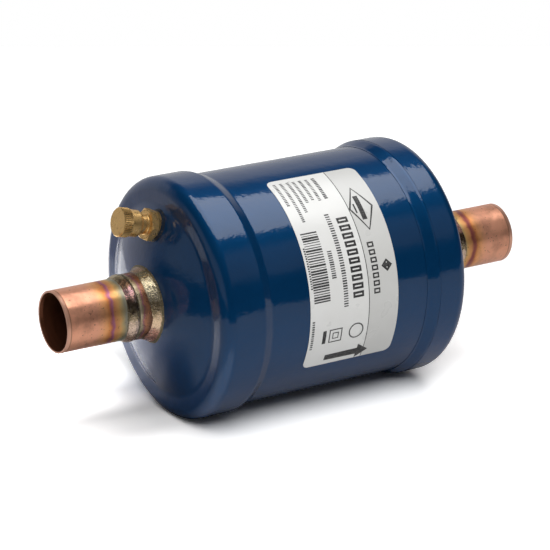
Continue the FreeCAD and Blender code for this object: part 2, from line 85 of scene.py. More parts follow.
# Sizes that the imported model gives
CAP_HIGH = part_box("inlet_end_cap")[1]
BODY_LOW, BODY_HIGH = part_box("shell_body")
STUB_LOW, STUB_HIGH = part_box("inlet_stub")
COLLAR_LOW, COLLAR_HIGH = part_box("inlet_collar")
BAND_R = CAP_HIGH.z
BODY_R = BODY_HIGH.z
STUB_R = STUB_HIGH.z
STUB_END = -STUB_LOW.x
COLLAR_R = COLLAR_HIGH.z
COLLAR_END = -COLLAR_LOW.x
INLET_LAP = -CAP_HIGH.x
OUTLET_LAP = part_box("outlet_end_cap")[0].x
LABEL_R = -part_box("label")[0].y
VALVE_AXIS = Vector(JOINTS["cap_turn"]["axis"]).normalized()
VALVE_NOSE = Vector(JOINTS["cap_turn"]["pos_m"])


def colour(title, text, default):
    return FloatVectorProperty(name=title, description=text, default=default, subtype="COLOR",
                               size=3, min=0, max=1)


def length(title, text, default):
    return FloatProperty(name=title, description=text, default=default, min=0,
                         unit="LENGTH", precision=5)


def number(title, text, default):
    return FloatProperty(name=title, description=text, default=default)


class DrierShell(bpy.types.PropertyGroup):
    """Sizes and paint of the shell"""
    enamel: colour("Enamel", "Colour of the paint", (0.0012, 0.045, 0.140))
    sheen: colour("Sheen", "Tint of the paint's sheen", (0.03, 0.28, 0.60))
    lustre: number("Lustre", "Strength of that sheen", 0.62)
    wall: length("Cap wall", "Wall of the end caps", 2.4 * MM)
    body_wall: length("Body wall", "Wall of the shell body", 2.0 * MM)
    hole_gap: length("Hole gap", "Room between a cap's hole and the collar", 0.1 * MM)
    knuckle: length("Knuckle radius", "Radius between skirt and rim", 6.5 * MM)
    knuckle_x: length("Knuckle plane", "Where the skirt ends", 63.6 * MM)
    valley: length("Valley radius", "Hollow between rim and dome", 7.0 * MM)
    flat: length("Flat", "Width of the flat ring beside the rim", 4.5 * MM)
    edge: number("Edge", "Slope at the dome's edge, in degrees", 26.0)
    weld_toe: length("Weld toe", "Step at the foot of the lap weld", 0.2 * MM)
    weld_wave: length("Weld wave", "Unevenness of the lap weld", 0.30 * MM)
    weld_ripple: length("Weld ripple", "Length of that unevenness", 5.0 * MM)
    weld_slope: number("Weld slope", "Slope of the lap weld, in degrees", 23.0)
    weld_bend: length("Weld bend", "Radius at the weld's foot and crown", 4.0 * MM)
    peel_size: length("Peel size", "Width of the paint's ripples", 1.5 * MM)
    peel_height: length("Peel height", "Height of the paint's ripples", 0.045 * MM)
    wave_height: length("Wave height", "Unevenness of the drawn steel", 0.03 * MM)
    wave_size: length("Wave size", "Length of that unevenness", 22.0 * MM)
    steps: IntProperty(name="Steps", description="Facets around the shell", default=288, min=24)


class DrierCopper(bpy.types.PropertyGroup):
    """Colours of the line stubs and their collars"""
    metallic: number("Metallic", "Share of mirrored light", 0.78)
    # The rim's pale band is fresh metal with a painted highlight; the crease behind it is
    # painted shade in the pits' colour
    cut_end_and_highlight: colour("Cut end", "Fresh metal on the end's rim", (0.92, 0.52, 0.38))
    stain: colour("Stain", "Browned patches", (0.30, 0.13, 0.085))
    pit_and_crease_shade: colour("Pit", "Pits, and the crease behind the rim", (0.10, 0.045, 0.03))
    bore: colour("Bore", "Oxide inside the socket", (0.26, 0.09, 0.045))
    wall: length("Wall", "Wall of the socket", 0.84 * MM)
    rim: length("Rim", "Width of the rounded rim", 2.1 * MM)
    crease: length("Crease", "Half the width of the crease", 0.4 * MM)
    rounding: length("Rounding", "Fall of the rim towards the mouth", 0.9 * MM)


class DrierBraze(bpy.types.PropertyGroup):
    """Sizes and colours of the brazed joints"""
    flux: colour("Flux", "Burnt flux at the edges", (0.22, 0.18, 0.11))
    stub_width: length("Stub bead", "Width of the bead over the collar's end", 6.9 * MM)
    stub_hump: length("Stub hump", "Height of that bead", 0.95 * MM)
    outlet_run: length("Outlet run", "How much further the outlet's bead runs", 3.0 * MM)
    foot: length("Foot", "Spread of the collar's bead on the dome", 2.2 * MM)
    climb: length("Climb", "How far the collar's bead climbs", 5.4 * MM)
    lump_height: length("Lump height", "Unevenness of a bead", 0.55 * MM)
    lump_size: length("Lump size", "Length of that unevenness", 4.0 * MM)
    grain_height: length("Grain height", "Pitting of a bead", 0.10 * MM)
    grain_size: length("Grain size", "Width of the pits", 0.9 * MM)
    steps: IntProperty(name="Steps", description="Facets around a bead", default=360, min=24)


class DrierValve(bpy.types.PropertyGroup):
    """Sizes and colour of the access valve"""
    brass: colour("Brass", "Machined brass", (0.93, 0.59, 0.23))
    pitch: length("Thread pitch", "7/16-20 flare thread", 1.27 * MM)
    thread_r: length("Thread radius", "Radius at the middle of the ridge", 5.3 * MM)
    ridge: length("Ridge height", "Height of the thread's ridge", 0.24 * MM)
    thread_length: length("Thread length", "Threaded part of the nipple", 6.2 * MM)
    thread_start: length("Thread start", "Plain part between nose and thread", 1.9 * MM)
    knurl_root: length("Knurl root", "Radius of the knurl's grooves", 6.82 * MM)
    knurl_edge: length("Knurl edge", "Radius of the plain ends of the knurl", 6.65 * MM)
    knurl_top: length("Knurl top", "Upper end of the knurl, above the nose", 0.98 * MM)


class DrierLabel(bpy.types.PropertyGroup):
    """Film and print of the label"""
    film: colour("Film", "Left field of the label", (0.70, 0.70, 0.685))
    column: colour("Column", "Right field of the label", (0.56, 0.56, 0.545))
    ink: colour("Ink", "Print", (0.022, 0.021, 0.022))
    divider: length("Divider", "Where the fields meet", 12.0 * MM)
    ink_thickness: length("Ink thickness", "Height of the print", 0.02 * MM)
    seed: IntProperty(name="Seed", description="Draw of the uneven bars", default=7)


class DrierInside(bpy.types.PropertyGroup):
    """Springs inside the shell and the valve"""
    wire: length("Hold-down wire", "Radius of the wire", 1.3 * MM)
    turns: number("Turns", "Turns of the hold-down spring", 3.5)
    core_wire: length("Core wire", "Radius of the valve core's wire", 0.15 * MM)
    core_turns: number("Core turns", "Turns of that spring", 5.0)
    sides: IntProperty(name="Sides", description="Facets around the wire", default=20, min=3)


class DrierStage(bpy.types.PropertyGroup):
    """Studio: floor, lamps and camera"""
    azimuth: number("Azimuth", "Camera's bearing in degrees", -31.934)
    elevation: number("Elevation", "Camera's height angle in degrees", 19.08)
    distance: length("Distance", "Camera to the drier", 1331.64 * MM)
    aim_right: length("Aim right", "Origin right of the picture's middle", 4.941 * MM)
    focal: number("Focal length", "Lens in mm, on 36 mm", 174.33)
    floor: colour("Floor", "Floor as lamps see it", (0.80, 0.80, 0.80))
    floor_lift: number("Floor lift", "Paleness the camera sees near the drier", 1.85)
    mid_lift: number("Middle lift", "Paleness behind the drier", 1.4)
    far_lift: number("Far lift", "Paleness at the floor's far edge", 2.1)
    # Painted light and painted shadow on patches of the table, seen by the camera
    corner_lift: number("Corner lift", "Paleness added under the inlet", 2.6)
    stub_shade: number("Stub shade", "Paleness taken off under the stub", 0.6)
    table_front: number("Table front", "Table in reflections, near", 0.56)
    table_back: number("Table back", "Table in reflections, behind", 0.62)
    # Painted light and painted shadow on patches of the table, seen in reflections
    table_gleam: number("Table gleam", "Added in reflections, behind the inlet", 1.5)
    open_table: number("Open table", "Added in reflections, in front of the stub", 0.5)
    end_gleam: number("End gleam", "Gained in reflections, beside the inlet's dome", 2.0)
    stub_shadow: number("Stub shadow", "Lost in reflections, below the stub", 0.8)
    backdrop: number("Backdrop", "Brightness of the backdrop", 0.55)
    front_wall: number("Front wall", "Brightness of the room in front", 0.22)
    side_wall: number("Side wall", "Brightness of the room at the left", 0.30)
    room: number("Room", "Brightness of the rest of the room", 0.01)
    softbox: number("Softbox", "Brightness of the overhead lamp", 2.7)
    fill: number("Fill", "Brightness of the front lamp", 5.6)


class Graph:
    """Adds nodes to a tree. An input is a value or another node's output."""

    def __init__(self, tree):
        self.tree = tree

    def add(self, kind, inputs=None, **settings):
        node = self.tree.nodes.new(kind)
        for name, value in settings.items():
            setattr(node, name, value)
        for key, value in (inputs or {}).items():
            self.put(node, key, value)
        return node

    def out(self, kind, inputs=None, **settings):
        """The first output of a new node."""
        return self.add(kind, inputs, **settings).outputs[0]

    def put(self, node, key, value):
        if isinstance(value, bpy.types.NodeSocket):
            self.tree.links.new(value, node.inputs[key])
        else:
            node.inputs[key].default_value = value

    def maths(self, operation, *values):
        return self.out("ShaderNodeMath", dict(enumerate(values)), operation=operation)

    def chain(self, operation, first, *others):
        for value in others:
            first = self.maths(operation, first, value)
        return first

    def product(self, *values):
        return self.chain("MULTIPLY", *values)

    def total(self, *values):
        return self.chain("ADD", *values)

    def weighted(self, x, y, share_x, share_y):
        """share_x times x plus share_y times y."""
        return self.maths("MULTIPLY_ADD", x, share_x, self.product(y, share_y))

    def scaled(self, value, low, high, to_low=0.0, to_high=1.0, kind="LINEAR"):
        """Maps low..high to to_low..to_high, held at both ends."""
        return self.out("ShaderNodeMapRange", {
            "Value": value, "From Min": low, "From Max": high,
            "To Min": to_low, "To Max": to_high}, interpolation_type=kind)

    def eased(self, *values):
        """As scaled, with a soft start and end."""
        return self.scaled(*values, kind="SMOOTHSTEP")

    def patch(self, axes, edges, strength, unit=1.0):
        """A patch with soft edges. An edge is an axis, where the patch starts on it and where
        it is full."""
        soft = [self.eased(axes[name], start * unit, full * unit) for name, start, full in edges]
        return self.product(*soft, strength)


class Finish(Graph):
    """A material in the making, on Object coordinates."""

    def __init__(self, name):
        self.material = bpy.data.materials.new(name)
        self.material.use_nodes = True
        super().__init__(self.material.node_tree)
        self.surface = self.tree.nodes["Principled BSDF"]
        self.place = self.add("ShaderNodeTexCoord").outputs["Object"]
        self.x, self.y, self.z = self.add(
            "ShaderNodeSeparateXYZ", {"Vector": self.place}).outputs

    def set(self, **values):
        """Sets the surface's inputs, named in small letters."""
        for key, value in values.items():
            name = key.replace("_", " ").title().replace("Ior", "IOR")
            if isinstance(value, (tuple, list)) or hasattr(value, "r"):
                value = (*value, 1.0)
            self.put(self.surface, name, value)

    def noise(self, size, detail=2.0, roughness=0.5, vector=None):
        """Noise from 0 to 1 with features of about that size."""
        return self.out("ShaderNodeTexNoise", {
            "Vector": vector or self.place, "Scale": 1 / size, "Detail": detail,
            "Roughness": roughness})

    def spots(self, size, start, full, detail=2.0, roughness=0.5):
        """Spots of about that size: 0 where noise is under start, 1 where it is over full."""
        return self.scaled(self.noise(size, detail, roughness), start, full)

    def wandering(self, size, low, high, detail=2.0):
        """A value that wanders between low and high."""
        return self.spread(self.noise(size, detail), low, high)

    def spread(self, tone, low, high):
        """A noise's middle range as low..high."""
        return self.scaled(tone, 0.3, 0.7, low, high)

    def band(self, value, start, full, fading, end):
        """1 from full to fading, 0 up to start and from end."""
        return self.product(self.scaled(value, start, full),
                            self.scaled(value, fading, end, 1.0, 0.0))

    def mix(self, factor, a, b):
        """Colour mix."""
        node = self.add("ShaderNodeMix", {0: factor}, data_type="RGBA")
        for key, value in ((6, a), (7, b)):
            if not isinstance(value, bpy.types.NodeSocket):
                value = (*value, 1.0)
            self.put(node, key, value)
        return node.outputs[2]

    def over(self, below, where, share, colour_over):
        """A colour with that share of another over it, where the pattern is full."""
        return self.mix(self.product(where, share), below, colour_over)

    def ramp(self, factor, stops):
        """Colour ramp through (position, colour) stops."""
        node = self.add("ShaderNodeValToRGB", {"Fac": factor})
        elements = node.color_ramp.elements
        while len(elements) < len(stops):
            elements.new(1.0)
        for element, (position, value) in zip(elements, stops):
            element.position = position
            element.color = (*value, 1.0)
        return node.outputs["Color"]

    def stretched(self, scale):
        """Coordinates on which a noise comes out drawn along an axis."""
        return self.out("ShaderNodeMapping", {"Vector": self.place, "Scale": scale})

    def from_middle(self):
        """Distance from the drier's middle, along its axis."""
        return self.maths("ABSOLUTE", self.x)

    def hypotenuse(self, a, b):
        return self.maths("SQRT", self.total(self.product(a, a), self.product(b, b)))

    def bump(self, *layers):
        """Surface relief. A layer is a 0 to 1 pattern and its height in metres."""
        normal = None
        for pattern, height in layers:
            inputs = {"Height": pattern, "Distance": height, "Strength": 1.0}
            if normal is not None:
                inputs["Normal"] = normal
            normal = self.out("ShaderNodeBump", inputs)
        self.put(self.surface, "Normal", normal)
        return normal

    def angle(self):
        """Degrees from -Y towards +Z round the drier's axis, as 0 to 1 from -180 to 180."""
        turn = self.maths("ARCTAN2", self.z, self.product(self.y, -1.0))
        return self.total(self.maths("DIVIDE", turn, 2 * math.pi), 0.5)


def enamel_finish(sizes):
    """Deep gloss paint with orange peel: a tinted, rougher body under a clear skin."""
    finish = Finish("drier_enamel")
    base = Vector(sizes.enamel)
    finish.set(base_color=finish.mix(finish.noise(30 * MM, detail=3), base * 0.88, base * 1.12),
               metallic=sizes.lustre, roughness=0.5, coat_weight=1.0, coat_ior=1.5,
               specular_tint=sizes.sheen, coat_roughness=finish.wandering(6 * MM, 0.06, 0.11))
    relief = finish.bump(
        (finish.noise(sizes.peel_size, detail=1.5), sizes.peel_height),
        (finish.noise(sizes.peel_size * 4.5, detail=1), sizes.peel_height * 2.2))
    finish.put(finish.surface, "Coat Normal", relief)
    return finish.material


# Heat tint along a copper end: distance from the drier's middle in mm, and the colour
TINT = (
    (84.0, (0.14, 0.07, 0.04)), (85.8, (0.34, 0.16, 0.09)), (87.4, (0.64, 0.28, 0.14)),
    (88.6, (0.66, 0.30, 0.18)), (89.3, (0.50, 0.19, 0.25)), (90.1, (0.62, 0.46, 0.28)),
    (91.6, (0.84, 0.72, 0.48)), (97.0, (0.48, 0.44, 0.30)), (98.2, (0.32, 0.31, 0.24)),
    (99.6, (0.52, 0.40, 0.20)), (101.6, (0.76, 0.42, 0.15)), (104.0, (0.66, 0.27, 0.11)),
    (105.0, (0.38, 0.13, 0.25)), (105.8, (0.42, 0.13, 0.13)), (107.0, (0.70, 0.26, 0.08)),
    (108.8, (0.86, 0.40, 0.16)), (111.5, (0.88, 0.42, 0.23)), (114.5, (0.87, 0.41, 0.26)))
# The outlet's own darker line: start, full, fading and end in mm, its share and its colour
BURNT_LINE = (103.4, 104.8, 105.4, 107.4)
BURNT_SHARE = 0.85
BURNT = (0.27, 0.065, 0.04)


def heat_tint(finish):
    """Temper colours by the distance from the drier's middle, wandering a little."""
    along = finish.from_middle()
    for size, reach in ((14 * MM, 4.5 * MM), (3.5 * MM, 1.6 * MM)):
        wander = finish.maths("SUBTRACT", finish.noise(size), 0.5)
        along = finish.maths("MULTIPLY_ADD", wander, reach, along)
    first, last = TINT[0][0], TINT[-1][0]
    factor = finish.scaled(along, first * MM, last * MM)
    tint = finish.ramp(factor, [((at - first) / (last - first), tone) for at, tone in TINT])
    burnt = finish.band(along, *(at * MM for at in BURNT_LINE))
    at_outlet = finish.scaled(finish.x, 0.0, MM, 0.0, BURNT_SHARE)
    return finish.over(tint, burnt, at_outlet, BURNT)


def copper_finish(sizes):
    """Drawn copper: heat tint, brown patches, pits, fine lines and a dark bore. The tube
    cutter left a rounded rim: its bright band is fresh metal with a painted highlight, and
    the crease behind it is painted shade."""
    finish = Finish("drier_copper")
    along = finish.from_middle()
    patches = finish.spots(12 * MM, 0.46, 0.68, detail=5, roughness=0.6)
    away = finish.scaled(along, 104 * MM, 110 * MM, 0.15, 0.60)
    outside = finish.over(heat_tint(finish), patches, away, sizes.stain)
    outside = finish.over(outside, finish.spots(1.3 * MM, 0.66, 0.72), 0.6, sizes.pit_and_crease_shade)
    # Painted highlight on the rim, over fresh metal, and painted shade in the crease behind it
    rim_start = STUB_END - sizes.rim
    rim = finish.scaled(along, rim_start + 0.1 * MM, rim_start + 0.7 * MM)
    outside = finish.over(outside, rim, 0.8, sizes.cut_end_and_highlight)
    crease = finish.band(along, rim_start - sizes.crease, rim_start, rim_start,
                         rim_start + sizes.crease)
    outside = finish.over(outside, crease, 0.6, sizes.pit_and_crease_shade)
    worn = finish.noise(2.5 * MM, detail=3, vector=finish.stretched((1, 0.1, 0.1)))
    inside = finish.mix(worn, sizes.bore, Vector(sizes.bore) * 0.45)
    bore_r = STUB_R - sizes.wall
    outer = finish.scaled(finish.hypotenuse(finish.y, finish.z), bore_r - 0.04 * MM,
                          bore_r + 0.04 * MM)
    finish.set(base_color=finish.mix(outer, inside, outside), metallic=sizes.metallic,
               roughness=finish.wandering(7 * MM, 0.30, 0.44, detail=4))
    drawn = finish.noise(0.5 * MM, vector=finish.stretched((0.12, 1, 1)))
    rounded = finish.scaled(along, rim_start, STUB_END + 0.4 * MM, 1.0, 0.0)
    finish.bump((drawn, 0.006 * MM), (finish.noise(2.4 * MM, detail=3), 0.05 * MM),
                (finish.noise(8 * MM, detail=1), 0.22 * MM), (rounded, sizes.rounding))
    return finish.material


def collar_finish():
    """Plated sleeve browned by the torch, straw next to the stub's bead."""
    finish = Finish("drier_collar")
    patches = finish.spots(5 * MM, 0.45, 0.65, detail=4)
    finish.set(base_color=finish.over(heat_tint(finish), patches, 0.45, (0.16, 0.075, 0.05)),
               metallic=0.85, roughness=finish.wandering(3 * MM, 0.2, 0.42, detail=3))
    finish.bump((finish.noise(0.8 * MM), 0.02 * MM), (finish.noise(4 * MM), 0.08 * MM))
    return finish.material


# Colours round a bead, by degrees from -Y towards +Z: the braze's own colours with painted
# highlights and painted shade
STUB_BEAD_HUES_AND_SHADING = (
    (-180, (0.42, 0.32, 0.20)), (-90, (0.30, 0.18, 0.11)), (-46, (0.46, 0.28, 0.19)),
    (-24, (0.86, 0.64, 0.50)), (-8, (0.78, 0.58, 0.44)), (6, (0.34, 0.26, 0.15)),
    (18, (0.06, 0.04, 0.025)), (32, (0.09, 0.06, 0.04)), (40, (0.70, 0.40, 0.34)),
    (52, (0.88, 0.50, 0.52)), (60, (0.40, 0.22, 0.14)), (76, (0.20, 0.13, 0.07)),
    (96, (0.50, 0.40, 0.24)), (180, (0.42, 0.32, 0.20)))
COLLAR_BEAD_HUES_AND_SHADING = (
    (-180, (0.45, 0.38, 0.26)), (-90, (0.42, 0.20, 0.14)), (-60, (0.66, 0.32, 0.24)),
    (-34, (0.74, 0.38, 0.28)), (-22, (0.90, 0.64, 0.42)), (-8, (0.84, 0.60, 0.38)),
    (4, (0.34, 0.25, 0.14)), (18, (0.26, 0.20, 0.12)), (36, (0.80, 0.68, 0.46)),
    (58, (0.82, 0.70, 0.46)), (76, (0.36, 0.30, 0.17)), (96, (0.40, 0.24, 0.14)),
    (180, (0.45, 0.38, 0.26)))
# From where to where a bead's metal is clean, by the distance from the drier's middle
STUB_CLEAN = (92.0 * MM, 97.6 * MM)
COLLAR_CLEAN = (80.6 * MM, 86.5 * MM)


def braze_finish(name, sizes, hues_and_shading, low, high):
    """Silver braze: colours round the bead with painted highlights and painted shade, burnt
    flux at both ragged edges, pits, painted glints.
    """
    finish = Finish(name)
    sway = finish.maths("SUBTRACT", finish.noise(3 * MM), 0.5)
    # Painted highlights and painted shade come round the bead with its own colours
    factor = finish.maths("MULTIPLY_ADD", sway, 0.10, finish.angle())
    hue_and_shading = finish.ramp(factor, [((degrees + 180) / 360, tone) for degrees, tone in hues_and_shading])
    along = finish.from_middle()
    ragged = finish.product(finish.noise(2.2 * MM, detail=4, roughness=0.7), 1.6 * MM)
    clean = finish.product(
        finish.scaled(finish.maths("SUBTRACT", along, ragged), low - 0.9 * MM, low - 0.2 * MM),
        finish.scaled(finish.total(along, ragged), high + 0.2 * MM, high + 0.9 * MM, 1.0, 0.0))
    tone = finish.mix(clean, sizes.flux, hue_and_shading)
    pits = finish.spots(0.9 * MM, 0.60, 0.70, detail=3)
    tone = finish.over(tone, pits, 0.8, (0.05, 0.035, 0.025))
    # Painted glints: small near-white specks
    painted_glints = finish.spots(0.7 * MM, 0.60, 0.70)
    tone = finish.over(tone, painted_glints, 0.55, (0.96, 0.82, 0.72))
    finish.set(base_color=tone, metallic=0.85,
               roughness=finish.scaled(clean, 0.0, 1.0, 0.50, 0.27))
    finish.bump((finish.noise(0.5 * MM), 0.10 * MM),
                (finish.noise(1.1 * MM, detail=3), 0.30 * MM),
                (finish.noise(2.5 * MM), 0.36 * MM))
    return finish.material


def fillet_shade_finish():
    """Fillet at the valve's foot, painted near-black as the shade under the hex, with a few
    bright specks.
    """
    finish = Finish("drier_valve_braze")
    specks = finish.spots(1.2 * MM, 0.58, 0.70, detail=3)
    finish.set(base_color=finish.mix(specks, (0.008, 0.014, 0.026), (0.06, 0.05, 0.04)),
               metallic=0.3, roughness=0.45)
    finish.bump((finish.noise(0.8 * MM, detail=3), 0.08 * MM))
    return finish.material


def brass_finish(sizes):
    """Turned brass: tool marks round the valve's own axis, small stains, painted shade in the
    knurl's grooves.
    """
    finish = Finish("drier_brass")
    turn = Vector((0, 0, 1)).rotation_difference(VALVE_AXIS).to_euler()
    local = finish.out("ShaderNodeMapping", {
        "Vector": finish.place, "Location": VALVE_NOSE, "Rotation": turn},
        vector_type="TEXTURE")
    across, over, height = finish.add("ShaderNodeSeparateXYZ", {"Vector": local}).outputs
    away = finish.hypotenuse(across, over)
    ring = finish.out("ShaderNodeCombineXYZ", {"X": away, "Y": height})
    tone = finish.noise(3 * MM, detail=4)
    base = Vector(sizes.brass)
    stains = finish.spots(1.6 * MM, 0.56, 0.70, detail=4)
    toned = finish.over(finish.mix(tone, base * 0.85, base * 1.08), stains, 0.4,
                        (0.30, 0.17, 0.06))
    # Painted shade at the roots of the knurl's grooves
    groove = finish.scaled(away, sizes.knurl_root, sizes.knurl_root + 0.25 * MM, 1.0, 0.0)
    on_knurl = finish.product(
        finish.scaled(away, sizes.knurl_edge, sizes.knurl_edge + 0.07 * MM),
        finish.scaled(height, sizes.knurl_top, sizes.knurl_top + 0.07 * MM, 1.0, 0.0))
    darkening = finish.product(groove, on_knurl)
    finish.set(base_color=finish.over(toned, darkening, 0.7, (0.14, 0.08, 0.03)), metallic=0.86,
               roughness=finish.spread(tone, 0.24, 0.36))
    marks = finish.noise(0.22 * MM, vector=ring)
    finish.bump((marks, 0.010 * MM), (finish.noise(0.7 * MM, detail=3), 0.012 * MM))
    return finish.material


def film_finish(sizes):
    """Satin film with a paler main field and a greyer column at the outlet side."""
    finish = Finish("drier_label_film")
    column = finish.scaled(finish.x, sizes.divider - 0.05 * MM, sizes.divider + 0.05 * MM)
    field = finish.mix(column, sizes.film, sizes.column)
    darkening = finish.scaled(finish.noise(14 * MM, detail=4), 0.35, 0.75, 0.0, 0.10)
    finish.set(base_color=finish.mix(darkening, field, (0.50, 0.48, 0.44)), specular_ior_level=0.9,
               roughness=finish.wandering(12 * MM, 0.27, 0.33))
    finish.bump((finish.noise(7 * MM, detail=1), 0.012 * MM))
    return finish.material


def ink_finish(sizes):
    """Print, a little thin in places."""
    finish = Finish("drier_label_ink")
    thin = finish.scaled(finish.noise(0.9 * MM, detail=3), 0.45, 0.8, 0.0, 0.16)
    finish.set(base_color=finish.mix(thin, sizes.ink, sizes.column),
               roughness=finish.wandering(2 * MM, 0.36, 0.5))
    return finish.material


def steel_finish():
    """Bare steel with drawing marks."""
    finish = Finish("drier_steel")
    tone = finish.noise(6 * MM, detail=4)
    finish.set(base_color=finish.mix(tone, (0.42, 0.42, 0.43), (0.62, 0.62, 0.62)),
               metallic=1.0, roughness=finish.spread(tone, 0.28, 0.42))
    finish.bump((finish.noise(0.6 * MM, detail=3), 0.01 * MM))
    return finish.material


def plain_finish(name, low, high, roughness, grain, height):
    """A dull moulded, felted or pressed material, from its two tones and its grain."""
    finish = Finish(name)
    tone = finish.noise(grain * 6, detail=4)
    finish.set(base_color=finish.mix(tone, low, high),
               roughness=finish.spread(tone, roughness - 0.06, roughness + 0.06))
    finish.bump((finish.noise(grain, detail=3, roughness=0.6), height))
    return finish.material


def block_finish():
    """Moulded desiccant: pressed beads with dark gaps."""
    finish = Finish("drier_desiccant")
    beads = finish.out("ShaderNodeTexVoronoi", {
        "Vector": finish.place, "Scale": 1 / (1.6 * MM)})
    tone = finish.noise(9 * MM, detail=3)
    pressed = finish.mix(tone, (0.60, 0.50, 0.38), (0.78, 0.70, 0.58))
    gaps = finish.scaled(beads, 0.35, 0.75)
    finish.set(base_color=finish.mix(gaps, pressed, (0.32, 0.25, 0.18)),
               roughness=finish.spread(tone, 0.78, 0.9))
    finish.bump((finish.scaled(beads, 0.0, 0.8, 1.0, 0.0), 0.35 * MM),
                (finish.noise(0.4 * MM), 0.05 * MM))
    return finish.material


def dress(material, *nodes):
    """Gives CAD nodes that material."""
    for name in nodes:
        for slot in NODES[name].material_slots:
            slot.material = material


def shape_tree(name, sockets):
    """A Geometry Nodes tree whose inputs are a geometry, these (name, kind, default) and a
    material."""
    tree = bpy.data.node_groups.new(name, "GeometryNodeTree")
    tree.interface.new_socket("Geometry", in_out="OUTPUT", socket_type="NodeSocketGeometry")
    sockets = (("Geometry", "Geometry", None), *sockets, ("Material", "Material", None))
    for title, kind, default in sockets:
        socket = tree.interface.new_socket(title, in_out="INPUT",
                                           socket_type="NodeSocket" + kind)
        if default is not None:
            socket.default_value = default
    graph = Graph(tree)
    return graph, graph.add("NodeGroupInput").outputs


def close_tree(graph, given, geometry, smooth=True):
    """Realize Instances, shading and Set Material at a tree's end."""
    real = graph.out("GeometryNodeRealizeInstances", {"Geometry": geometry})
    shaded = graph.out("GeometryNodeSetShadeSmooth", {"Geometry": real, "Shade Smooth": smooth})
    painted = graph.out("GeometryNodeSetMaterial", {
        "Geometry": shaded, "Material": given["Material"]})
    graph.add("NodeGroupOutput", {"Geometry": painted})
    return graph.tree


def ripple(graph, geometry, size, height, seed):
    """Moves a surface along its normal by noise of that size and height."""
    noise = graph.out("ShaderNodeTexNoise", {
        "Scale": graph.maths("DIVIDE", 1.0, size), "W": seed, "Detail": 2.0},
        noise_dimensions="4D")
    rise = graph.product(graph.maths("SUBTRACT", noise, 0.5), height)
    normal = graph.out("GeometryNodeInputNormal")
    offset = graph.out("ShaderNodeVectorMath", {0: normal, "Scale": rise}, operation="SCALE")
    return graph.out("GeometryNodeSetPosition", {"Geometry": geometry, "Offset": offset})


def turned_tree():
    """Turns an outline once about the X axis, then makes it a little uneven."""
    graph, given = shape_tree("turned_outline", (
        ("Steps", "Int", 96), ("Spindle", "Float", MM), ("Wave Size", "Float", 20 * MM),
        ("Wave Height", "Float", 0.0), ("Seed", "Float", 0.0)))
    outline = graph.out("GeometryNodeMeshToCurve", {"Mesh": given["Geometry"]})
    circle = graph.out("GeometryNodeCurvePrimitiveCircle", {
        "Resolution": given["Steps"], "Radius": given["Spindle"]})
    swept = graph.out("GeometryNodeCurveToMesh", {"Curve": circle, "Profile Curve": outline})
    upright = graph.out("GeometryNodeTransform", {
        "Geometry": swept, "Rotation": (0.0, math.pi / 2, 0.0)})
    uneven = ripple(graph, upright, given["Wave Size"], given["Wave Height"], given["Seed"])
    return close_tree(graph, given, uneven)


def rough_tree():
    """Lumps and pits on a bead of braze."""
    graph, given = shape_tree("rough_bead", (
        ("Lump Size", "Float", MM), ("Lump Height", "Float", 0.0), ("Grain Size", "Float", MM),
        ("Grain Height", "Float", 0.0), ("Seed", "Float", 0.0)))
    rough = given["Geometry"]
    for form in ("Lump", "Grain"):
        rough = ripple(graph, rough, given[form + " Size"], given[form + " Height"],
                       given["Seed"])
    return close_tree(graph, given, rough)


def wire_tree():
    """Wire wound about the Z axis: a spring, or a thread's ridge with few sides."""
    graph, given = shape_tree("wound_wire", (
        ("Turns", "Float", 5.0), ("Coil Radius", "Float", MM), ("Height", "Float", MM),
        ("Wire Radius", "Float", MM), ("Sides", "Int", 12), ("Steps Per Turn", "Int", 48)))
    line = graph.out("GeometryNodeCurveSpiral", {
        "Resolution": given["Steps Per Turn"], "Rotations": given["Turns"],
        "Start Radius": given["Coil Radius"], "End Radius": given["Coil Radius"],
        "Height": given["Height"]})
    section = graph.out("GeometryNodeCurvePrimitiveCircle", {
        "Resolution": given["Sides"], "Radius": given["Wire Radius"]})
    wire = graph.out("GeometryNodeCurveToMesh", {
        "Curve": line, "Profile Curve": section, "Fill Caps": True})
    return close_tree(graph, given, wire)


def wrapped(graph, given, geometry):
    """Gives flat print its thickness and lays it round the shell: Y becomes arc length."""
    radius, thickness = given["Radius"], given["Thickness"]
    raised = graph.out("GeometryNodeExtrudeMesh", {
        "Mesh": geometry, "Offset": (0.0, 0.0, 1.0), "Offset Scale": thickness,
        "Individual": False})
    both = graph.add("GeometryNodeJoinGeometry", {0: raised})
    graph.put(both, 0, graph.out("GeometryNodeFlipFaces", {"Mesh": geometry}))
    solid = graph.out("GeometryNodeMergeByDistance", {
        "Geometry": both.outputs[0], "Distance": graph.product(thickness, 0.2)})
    x, y, z = graph.add("ShaderNodeSeparateXYZ", {
        "Vector": graph.out("GeometryNodeInputPosition")}).outputs
    angle = graph.maths("DIVIDE", y, radius)
    reach = graph.total(z, radius)
    laid = graph.out("ShaderNodeCombineXYZ", {
        "X": x, "Y": graph.product(reach, graph.maths("COSINE", angle), -1.0),
        "Z": graph.product(reach, graph.maths("SINE", angle))})
    return graph.out("GeometryNodeSetPosition", {"Geometry": solid, "Position": laid})


